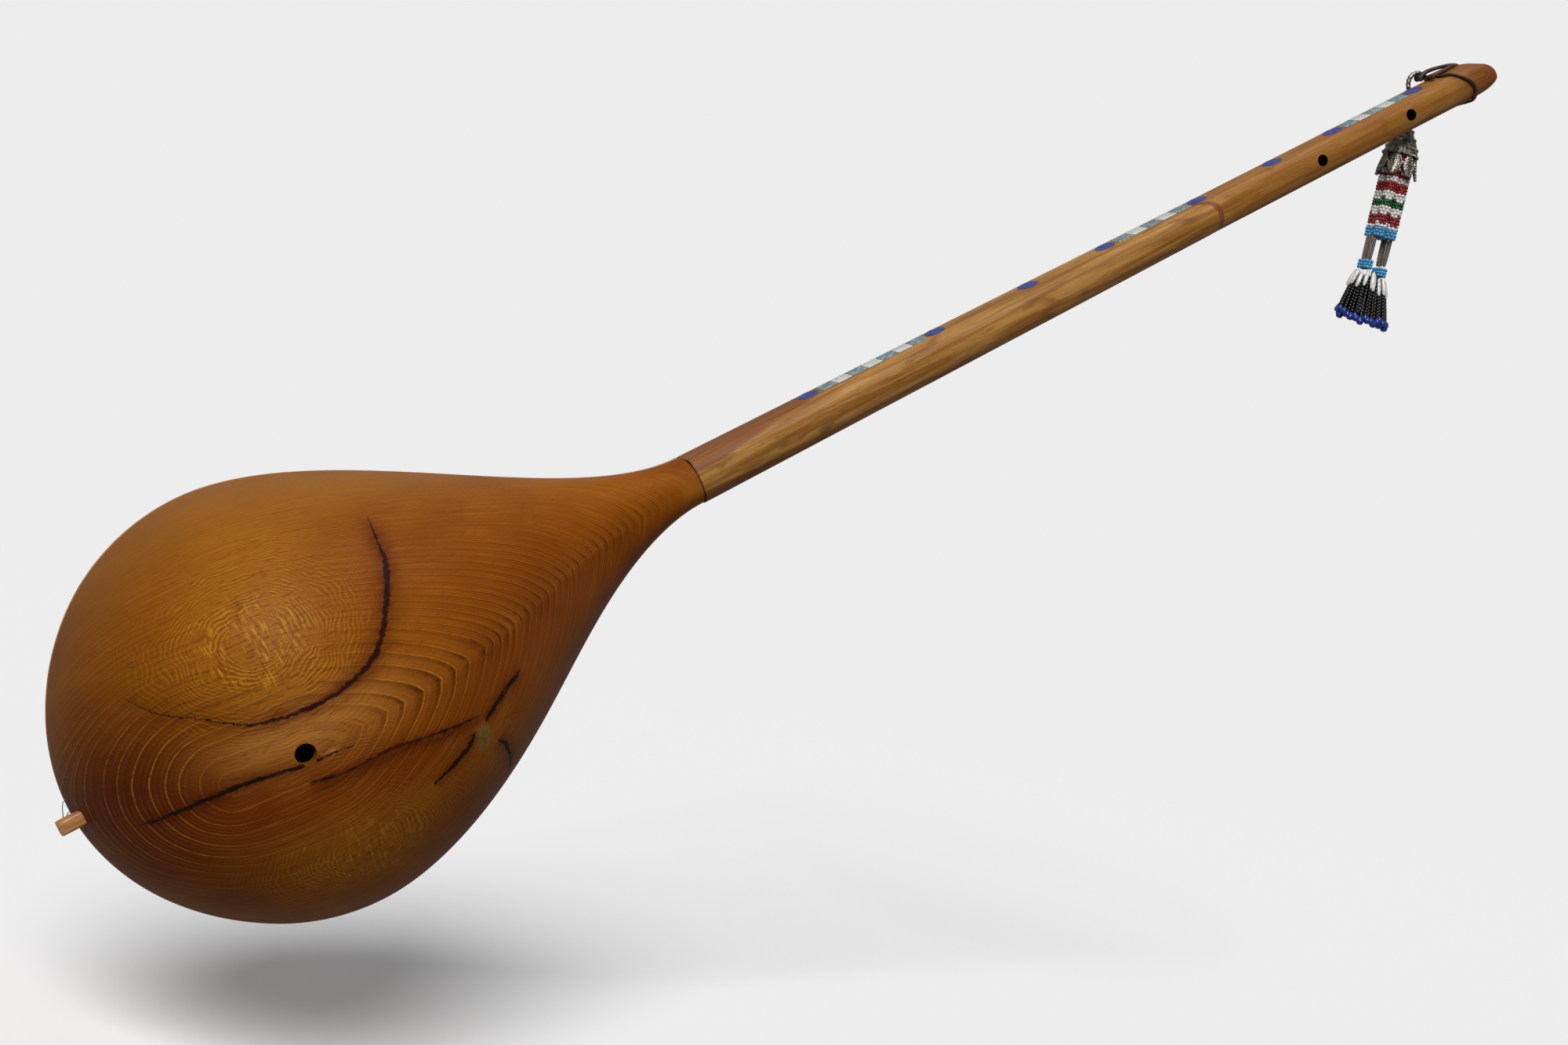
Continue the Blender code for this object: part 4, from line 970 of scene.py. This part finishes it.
def makePegs(plan, look, wire):
    # shaft turned from its profile and joined to the handle, with a helix of wire round it
    r, seat, top = plan["radius"], plan["seat"], plan["neck"]
    profile = [(r * 0.7, -seat), (r * 0.93, -seat + 0.0005), (r * 0.97, -0.004), (r, 0.0)]
    profile += [(r * wide, plan["windHigh"] + rise) for wide, rise in plan["collar"]]
    profile += [(r * 0.92, top - 0.0012), (r, top + 0.0004), (r * 0.9, top + plan["height"] * 0.4)]
    turn = np.linspace(0, 2 * np.pi * plan["turns"], 32 * plan["turns"])
    climb, coil = np.linspace(plan["windLow"], plan["windHigh"], len(turn)), plan["windRadius"]
    for number, (x, body) in enumerate(zip(neckPlan["pegs"], ("peg_one", "peg_two")), 1):
        handle = carried(pegHandle(plan, x))
        piece = putPiece(f"peg_turned_{number}", f"peg_{number}", handle, look, body)
        carve(piece, [lathe(profile, upright(x), 32)], "UNION")
        path = grid(x + coil * np.cos(turn), climb, coil * np.sin(turn))
        wound = carried(tubeAlong(path, plan["wireRadius"], 8))
        putPiece(f"string_turns_{number}", f"winding_{number}", wound, wire, body)


def makeTailPin(plan, look):
    # squarish section carried along the tail's axis, drawn in at its outer end
    along, size = np.array(plan["shape"]).T[..., None]
    c, s = squarish(turns(40), plan["squareness"])
    half = plan["half"] * size
    points = grid(plan["outer"] + along, -plan["depth"] + half * c, plan["across"] + half * s)
    putPiece("tail_peg", "tail_pin", carried(skin(points)), look)


makePegs(pegPlan, pegWood, steel)
makeTailPin(pinPlan, darkWoodLook("tail pin wood", (168, 108, 54), (206, 148, 92), (60, 700, 700)))
print("pegs and tail pin done")


# the thong round the head, with its loop and toggle

# the strap's distances from the tip on four sides
# the loop's strands as (along, ahead, above the head's upper edge)
thongPlan = {"radius": 0.00118, "standOff": 0.00105, "steps": 160, "flat": 0.85,
             "front": 0.0310, "upper": 0.0365, "back": 0.0245, "lower": 0.0272,
             "loopOver": ((0.5345, 0.0012, -0.0100), (0.5430, 0.0014, -0.0088), (0.5492, 0.0014, -0.0050),
                          (0.5488, 0.0012, -0.0014), (0.5435, 0.0002, 0.0014), (0.5345, -0.0004, 0.0036),
                          (0.5280, -0.0002, 0.0045), (0.5237, 0.0, 0.0043), (0.5208, 0.0002, 0.0026),
                          (0.5203, 0.0004, 0.0009)),
             "loopUnder": ((0.5250, -0.0006, 0.0012), (0.5300, -0.0022, 0.0012), (0.5370, -0.0026, 0.0011),
                           (0.5435, -0.0010, 0.0009), (0.5480, 0.0010, -0.0010), (0.5472, 0.0013, -0.0044),
                           (0.5420, 0.0014, -0.0064), (0.5335, 0.0012, -0.0073)),
             "loopWire": 0.00125}
# the toggle's shape as (size, place): sizes are shares of its radius
# places are radii from the far or the near end, and plain heights for the band
togglePlan = {"at": (0.52372, 0.01179), "radius": 0.0013, "behind": 0.009, "ahead": 0.009,
              "far": ((0.5, 0), (0.85, 0.15), (1, 0.5)),
              "band": ((1, -0.004), (1.12, -0.0036), (1.12, -0.0020), (1, -0.0016)),
              "near": ((1, 1.6), (1.25, 1.4), (1.58, 0.8), (1.5, 0.3), (1.1, 0.05), (0.5, 0))}


def headReach(plan, x, ahead, up):
    # farthest line off the head's section in one direction:
    # the least of the edges' distances over how far each edge faces that way
    arc = np.linspace(0, np.pi, 13)
    half, flank, deep = neckHalf(x)[:, None], neckPlan["flank"], neckPlan["depthHead"]
    waist = half - flank * math.tan(neckPlan["lean"])
    back = flank + (deep - flank) * np.sin(arc)
    y = np.concatenate([0 * half, -back[None] + 0 * half, 0 * half], 1) + deep / 2
    z = np.concatenate([half, waist * np.cos(arc)[None], -half], 1)
    edgeY, edgeZ = np.roll(y, -1, 1) - y, np.roll(z, -1, 1) - z
    size = np.hypot(edgeY, edgeZ)
    outY, outZ = edgeZ / size, -edgeY / size
    offsets = outY * y + outZ * z + plan["standOff"]
    facing = np.maximum(outY * ahead[:, None] + outZ * up[:, None], 0.0003)
    return (offsets / facing).min(1)


def thongPath(plan, angle):
    # the four distances from the tip joined by a cosine, a sine and a doubled cosine, laid round the head
    front, upper, back, lower = (plan[name] for name in ("front", "upper", "back", "lower"))
    ahead, up = np.cos(angle), np.sin(angle)
    fromTip = (front + upper + back + lower) / 4 + (front - back) / 2 * ahead + (upper - lower) / 2 * up
    x = tipAt - fromTip - (front + back - upper - lower) / 4 * np.cos(2 * angle)
    reach = headReach(plan, x, ahead, up)
    return grid(x, reach * ahead - neckPlan["depthHead"] / 2, reach * up)


def makeThong(plan, look):
    # strap round the head, its end one strand over the toggle and one under it
    angle = turns(plan["steps"])
    radius = plan["radius"] * (0.90 + 0.06 * np.sin(5 * angle) + 0.04 * np.sin(11 * angle + 1))
    skins = [tubeAlong(thongPath(plan, angle), radius, 12, closed=True, flat=plan["flat"])]
    for strand in ("loopOver", "loopUnder"):
        line = smoothKnots(plan[strand], 60)
        line[:, 2] += neckHalf(line[:, 0])
        wire = plan["loopWire"] * (1 + 0.10 * np.sin(np.linspace(0, 9, len(line))))
        skins.append(tubeAlong(line, wire, 10))
    putPiece("thong_strap", "thong", carried(gather(skins)), look)


def makeToggle(plan, look):  # pin with a band and a rounded head, turned from its profile
    r, low, high = plan["radius"], -plan["behind"], plan["ahead"]
    profile = [(r * size, low + r * run) for size, run in plan["far"]]
    profile += [(r * size, height) for size, height in plan["band"]]
    profile += [(r * size, high - r * run) for size, run in plan["near"]]
    putPiece("toggle_pin", "thong_toggle", lathe(profile, upright(*plan["at"]), 24), look)


def leatherLook():
    hide = Finish("thong leather", 0.42)
    cells, wear = hide.cells(2200.0), hide.noise(420, 3, 0.6)
    hide.ground(wear, 0.40, 0.72, (44, 26, 17), (84, 52, 35))
    hide.veil(cells, 0.12, 0.0, 0.5, (20, 12, 10))
    return hide.done(cells, 0.0002, 0.4, (0.30, 0.25, wear))


leather = leatherLook()
makeThong(thongPlan, leather)
makeToggle(togglePlan, leather)
print("thong tied")


# the bead tassel

tasselPlan = {"ahead": 0.006, "lean": math.radians(3.3), "ringDrop": 0.0039, "ringRadius": 0.0068,
              "ringWire": 0.0015, "ringGroove": 0.10, "ringTwist": 9, "cordRadius": 0.00052,
              "cordPitch": 0.0042, "cordGap": 0.0002, "cordTuck": 0.0004, "cordLay": 1.08, "capTop": -0.0313}
# cap's outline, mm below its top and mm from the middle; its rows of grains as (depth, size)
capPlan = {"outline": ((0, 1.5, 4, 8, 12, 15, 16.5), (3.5, 4.6, 5.6, 7.7, 9.3, 10.1, 10.3)),
           "shoulder": 0.0165, "height": 0.0298, "wall": 0.0006, "petals": 7,
           "flutes": 16, "fluteDepth": 0.018,
           "grains": ((0.0012, 0.00075), (0.0062, 0.0007), (0.0118, 0.0007), (0.0160, 0.0008)),
           "grainLength": 0.0014, "grainPitch": 2.1,
           "leafHalf": 0.0034, "leafOut": 0.0098, "leafSwing": 0.0029, "leafHollow": 0.0007,
           "edgeWire": 0.00048, "middleWire": 0.00036, "leafGrain": 0.00055}
# depths are below the cap's top
ropePlan = {"radius": 0.0038, "gap": 0.0041, "start": 0.0247, "beadSize": 0.00105, "beadLength": 0.0019,
            "beadsRound": 8, "firstRow": 0.0008, "rowPitch": 0.00185, "rowJitter": 0.00008,
            "sizeJitter": 0.05, "bandWave": 0.0012, "coreShare": 0.92, "collarReach": 0.0083,
            "collar": ((0.0176, "red"), (0.0195, "red"), (0.0214, "white"), (0.0233, "red")),
            "bundle": (0.0055, 0.0024), "uneven": 0.0012,
            "bugles": 5, "bugleRadius": 0.00072, "bugleReach": 0.0012, "bugleDepth": 0.0747,
            "bugleLength": 0.0170,
            "skyRows": (0.0840, 0.0858, 0.0875), "skyReach": 0.0022, "skyLength": 0.0021,
            "dropTurns": (25, -75, -146, 125), "dropStep": 0.38, "dropReach": 0.0104, "dropSize": 0.00135,
            "dropLength": 0.0108, "dropDepths": (0.0942, 0.0958, 0.0944, 0.0954), "dropSplay": 0.34}
fringePlan = {"top": 0.0925, "end": 0.1168, "start": 0.0076, "reach": 0.0160, "reachSpread": (0.86, 0.14),
              "tuck": 0.0008, "lean": (0.0010, -0.0004), "strands": 52, "turnJitter": 0.03,
              "lengthJitter": 0.0008, "stagger": 0.0016, "bead": 0.00112, "beadLength": 0.0021,
              "hemBead": 0.0021, "hemLength": 0.0036, "hemSlant": 0.0030, "hemTurn": 1.65,
              "coreReach": (0.0062, 0.0056), "coreTop": 0.002, "coreShort": 0.006}
beadColours = {"white": (240, 236, 232), "red": (150, 12, 20), "green": (16, 84, 36), "sky": (84, 164, 214),
               "grey": (128, 118, 108), "black": (10, 10, 12), "blue": (26, 56, 146)}
# bands down the tassel: (until, in mm below the cap's top, colour)
beadBands = ((26.5, "white"), (29.3, "red"), (32.9, "white"), (38.7, "red"), (43.2, "white"), (48.0, "green"),
             (52.4, "white"), (58.0, "red"), (60.4, "white"), (66.6, "sky"))
# a bead's outline: share of its length, share of its radius
barrel = ((-0.5, 0.42), (-0.40, 0.82), (-0.15, 1.0), (0.15, 1.0), (0.40, 0.82), (0.5, 0.42))
tintOf = {name: float(number) for number, name in enumerate(beadColours)}


def beadString(places, axes, radius, length, sides=7):
    # one small barrel for each place, turned to its axis: rings of radius times a rounded profile
    places = np.asarray(places, float)
    count, rows = len(places), len(barrel)
    axes = np.broadcast_to(np.asarray(axes, float), places.shape)
    axes = axes / np.linalg.norm(axes, axis=1)[:, None]
    radius, length = np.broadcast_to(radius, (count,)), np.broadcast_to(length, (count,))
    side = np.cross(axes, [0.41, 0.88, 0.23])
    side /= np.linalg.norm(side, axis=1)[:, None]
    up = np.cross(side, axes)
    height, wide = np.array(barrel).T
    turn = turns(sides)[:, None]
    around = np.cos(turn) * side[:, None] + np.sin(turn) * up[:, None]
    points = (places[:, None, None] + (radius[:, None] * wide)[..., None, None] * around[:, None]
              + (length[:, None] * height)[..., None, None] * axes[:, None, None])
    index = np.arange(count * rows * sides).reshape(count, rows, sides)
    near, far = index[:, :-1], index[:, 1:]
    quads = np.stack([near, np.roll(near, -1, 2), np.roll(far, -1, 2), far], -1).reshape(-1, 4).tolist()
    return points.reshape(-1, 3), quads + index[:, 0, ::-1].tolist() + index[:, -1].tolist()


class Beadwork:  # skins gathered into one piece, with a colour number for each point
    def __init__(self):
        self.skins, self.tints = [], []

    def put(self, made, colour):
        self.skins.append(made)
        self.tints.append(np.full(len(made[0]), tintOf[colour]))

    def string(self, places, axes, radius, length, tints, sides=7):
        self.skins.append(beadString(places, axes, radius, length, sides))
        self.tints.append(np.repeat(tints, len(barrel) * sides))

    def strand(self, places, axes, radius, length, colour, sides=7):  # a string of one colour
        self.string(places, axes, radius, length, np.full(len(places), tintOf[colour]), sides)

    def hangUp(self, name, node, look):
        tints = {"tint": np.concatenate(self.tints)}
        piece = putPiece(name, node, hang(gather(self.skins)), look, "tassel", 60, tints)
        print(name, len(piece.data.polygons), "faces")


def hang(made):  # a skin in the tassel's frame, leaning about the toggle's line, carried to the world
    points, faces = made
    c, s = math.cos(tasselPlan["lean"]), math.sin(tasselPlan["lean"])
    x, y, z = points.T
    toggleX, toggleZ = togglePlan["at"]
    return grid(x * c + z * s, y, z * c - x * s) + toWorld((toggleX, tasselPlan["ahead"], toggleZ)), faces


def polar(radius, turn, depth):  # points round the tassel's middle line, depth below the cap's top
    return grid(radius * np.cos(turn), radius * np.sin(turn), tasselPlan["capTop"] - depth)


def sideways(turn, rise=0.0):  # directions round the tassel's middle line
    return grid(-np.sin(turn), np.cos(turn), rise)


def makeRing(plan, look):
    # torus in the upright plane, its wire grooved like a twisted pair
    turn, spin = turns(96)[:, None], turns(16)[None]
    wire = plan["ringWire"] * (0.90 + plan["ringGroove"] * np.cos(2 * (spin + plan["ringTwist"] * turn)))
    out = plan["ringRadius"] + wire * np.cos(spin)
    points = grid(out * np.cos(turn), wire * np.sin(spin), out * np.sin(turn) - plan["ringDrop"])
    putPiece("ring_wire", "tassel_ring", hang(skin(points, wrapRows=True)), look, "ring")


def makeCord(plan, look):
    # three threads twisted about the tassel's middle line, from the ring to the cap
    high = -plan["ringDrop"] - plan["ringRadius"] - plan["ringWire"] - plan["cordGap"]
    height = np.linspace(high, plan["capTop"] - plan["cordTuck"], 60)
    radius, reach = plan["cordRadius"], plan["cordRadius"] * plan["cordLay"]
    skins = []
    for phase in turns(3):
        turn = 2 * np.pi * (high - height) / plan["cordPitch"] + phase
        skins.append(tubeAlong(grid(reach * np.cos(turn), reach * np.sin(turn), height), radius, 8))
    putPiece("twisted_cord", "tassel_cord", hang(gather(skins)), look, "tassel")


def makeCap(plan, look):
    # domed shell with a beaded shoulder, and leaves that hang from it
    outAt = lambda depth: np.interp(depth * 1000, *plan["outline"]) / 1000
    depth, turn = np.linspace(0, plan["shoulder"], 26)[:, None], turns(96)[None]
    flute = plan["fluteDepth"] * np.cos(plan["flutes"] * turn) * smooth(0.003, 0.009, depth)
    radius = outAt(depth) * (1 + flute)
    inner = polar(radius - plan["wall"], turn, np.maximum(depth, plan["wall"]))
    skins = [skin(np.concatenate([polar(radius, turn, depth), inner[::-1]], 0))]
    for height, size in plan["grains"]:
        out = outAt(height) + 0.0001
        places = polar(out, turns(int(2 * np.pi * out / (size * plan["grainPitch"]))), height)
        skins.append(beadString(places, (0, 0, 1), size, plan["grainLength"]))
    for k in range(plan["petals"]):
        skins += leaf(plan, 2 * np.pi * (k + 0.35) / plan["petals"])
    putPiece("petal_cap", "tassel_cap", hang(gather(skins)), look, "tassel")


def leaf(plan, centre):
    # leaf that swings out as it drops: half width a rounded sine of its length, hollowed across
    # wires run along its edges and its middle
    t, u = np.linspace(0, 1, 18)[:, None], np.linspace(-1, 1, 9)[None]
    start = plan["shoulder"] - 0.0012
    half = 0.0004 + plan["leafHalf"] * np.clip(np.sin(np.pi * t ** 1.1), 0, 1) ** 0.75
    out = plan["leafOut"] + plan["leafSwing"] * t ** 1.2 - plan["leafHollow"] * u ** 2
    depth = start + (plan["height"] - 0.0003 - start) * t
    outer, inner = (polar(reach, centre + half * u / out, depth) for reach in (out, out - plan["wall"]))
    skins = [skin(np.concatenate([outer, inner[:, ::-1]], 1))]
    for column, wire in ((0, plan["edgeWire"]), (8, plan["edgeWire"]), (4, plan["middleWire"])):
        skins.append(tubeAlong(outer[:, column], wire, 7))
    grains = outer[2:-1:2, [2, 6]].reshape(-1, 3)
    return skins + [beadString(grains, (0, 0, 1), plan["leafGrain"], 0.0010)]


def bandedBeads(plan, rope, middle):  # rows of beads round a core, each row half a bead on, coloured in bands
    start, end = plan["start"], beadBands[-1][0] / 1000
    rows = np.arange(start + plan["firstRow"], end, plan["rowPitch"])
    odd = (np.arange(len(rows)) % 2)[:, None]
    turn = turns(plan["beadsRound"]) + odd * np.pi / plan["beadsRound"]
    depth = rows[:, None] + rng.normal(0, plan["rowJitter"], turn.shape)
    size = plan["beadSize"] * (1 + rng.normal(0, plan["sizeJitter"], turn.size))
    limits = np.array([until for until, colour in beadBands]) / 1000
    ragged = np.clip(depth + plan["bandWave"] * np.sin(turn + 0.7), 0, limits[-1] - 1e-6)
    tint = np.array([tintOf[colour] for until, colour in beadBands])[np.searchsorted(limits, ragged)]
    wide = plan["radius"] - plan["beadSize"]
    places = (middle + polar(wide, turn, depth)).reshape(-1, 3)
    rope.string(places, sideways(turn, 0.25).reshape(-1, 3), size, plan["beadLength"], tint.ravel())
    core = middle + polar(0.0, 0.0, np.linspace(start, end, 12))
    rope.put(tubeAlong(core, wide * plan["coreShare"], 10), "white")


def makeRopes(plan, look):
    for number, (sideX, sideY) in enumerate(((1, 1), (1, -1), (-1, -1), (-1, 1)), 1):
        rope = Beadwork()
        bandedBeads(plan, rope, np.array([sideX * plan["gap"], sideY * plan["gap"], 0.0]))
        collar = math.atan2(sideY, sideX) + (np.arange(7) - 3) * np.pi / 14  # beads behind the cap's leaves
        for row, colour in plan["collar"]:
            places = polar(plan["collarReach"], collar, row)
            rope.strand(places, sideways(collar), plan["beadSize"], plan["beadLength"], colour)
        # two bundles of long beads stand apart, then short blue rows and white drops
        bundle = np.array([sideX * plan["bundle"][0], sideY * plan["bundle"][1], 0.0])
        lower = plan["uneven"] * sideX
        turn = turns(plan["bugles"]) + 0.4 * number
        outward = grid(0.02 * np.cos(turn), 0.02 * np.sin(turn), 1.0)
        bugles = bundle + polar(plan["bugleReach"], turn, plan["bugleDepth"])
        rope.strand(bugles, outward, plan["bugleRadius"], plan["bugleLength"], "grey")
        for row in plan["skyRows"]:
            turn = turns(7) + row * 900
            places = bundle + polar(plan["skyReach"], turn, row + lower)
            rope.strand(places, sideways(turn), plan["beadSize"] * 1.05, plan["skyLength"], "sky")
        turn = math.radians(plan["dropTurns"][number - 1]) + (np.arange(4) - 1.5) * plan["dropStep"]
        drops = polar(plan["dropReach"], turn, np.array(plan["dropDepths"]) + lower)
        splay = grid(plan["dropSplay"] * np.cos(turn), plan["dropSplay"] * np.sin(turn), -1.0)
        rope.strand(drops, splay, plan["dropSize"], plan["dropLength"], "white")
        rope.hangUp(f"bead_rope_{number}", f"tassel_rope_{number}", look)


def makeFringe(plan, look):
    # strands spread outwards on a square-root curve round a dark core, each ending in one round bead
    top, drop, start, count = plan["top"], plan["end"] - plan["top"], plan["start"], plan["strands"]
    least, spread = plan["reachSpread"]
    fringe = Beadwork()
    core, t = np.linspace(0, 1, 8)[:, None], np.linspace(0, 1, 14)
    coreReach = plan["coreReach"][0] + plan["coreReach"][1] * np.sqrt(core)
    coreDepth = top + plan["coreTop"] + (drop - plan["coreShort"]) * core
    fringe.put(skin(polar(coreReach, turns(32)[None], coreDepth)), "black")
    for k in range(count):
        corner = 2 * np.pi * k / count + rng.normal(0, plan["turnJitter"])
        far = plan["reach"] * (least + spread * rng.random()) - plan["tuck"]
        slant = plan["hemSlant"] * np.cos(corner + plan["hemTurn"])
        length = drop - plan["stagger"] * (k % 2) + rng.normal(0, plan["lengthJitter"]) + slant
        path = polar(start + (far - start) * np.sqrt(t) * (0.75 + 0.25 * t), corner, top + length * t)
        path[:, :2] += t[:, None] * np.array(plan["lean"])
        ahead = np.gradient(path, axis=0)
        fringe.strand(path[:-1], ahead[:-1], plan["bead"], plan["beadLength"], "black", 6)
        fringe.strand(path[-1:], ahead[-1:], plan["hemBead"], plan["hemLength"], "blue", 10)
    fringe.hangUp("bead_fringe", "tassel_fringe", look)


def silverLook():
    metal = Finish("aged silver", 0.34, 1.0, rise=0)
    tarnish, scrolls = metal.noise(420, 4, 0.65), metal.cells(620.0)
    metal.ground(tarnish, 0.36, 0.68, (120, 115, 104), (186, 180, 168))
    metal.veil(scrolls, 0.10, 0.02, 0.75, (58, 53, 47))
    return metal.done(scrolls, 0.0004, 0.6, (0.22, 0.30, tarnish))


def glassLook():
    glass = Finish("glass beads", 0.16, rise=0)
    vary, count = glass.noise(520, 2, 0.6), len(beadColours)
    ramp = glass.node("ValToRGB", {0: glass.calc("DIVIDE", glass.plus("tint", 0.5), float(count))})
    ramp.color_ramp.interpolation = "CONSTANT"
    steps = ramp.color_ramp.elements
    while len(steps) < count:
        steps.new(0.5)
    for i, colour in enumerate(beadColours.values()):
        steps[i].position = i / count
        steps[i].color = linear(colour)
    glass.base = ramp.outputs[0]
    glass.veil(vary, 0.35, 0.72, 0.35, (0, 0, 0))
    return glass.done(vary, 0.0001, 0.2, (0.10, 0.16, vary))


def threadLook():
    thread = Finish("tassel thread", 0.75, rise=0)
    fibre = thread.noise((2600, 2600, 700), 3, 0.6)
    thread.ground(fibre, 0.35, 0.68, (112, 104, 96), (176, 168, 158))
    return thread.done(fibre, 0.0002, 0.5)


silver, glass = silverLook(), glassLook()
makeRing(tasselPlan, silver)
makeCord(tasselPlan, threadLook())
makeCap(capPlan, silver)
makeRopes(ropePlan, glass)
makeFringe(fringePlan, glass)
print("tassel hung")

bpy.context.scene.view_settings.view_transform = "Standard"
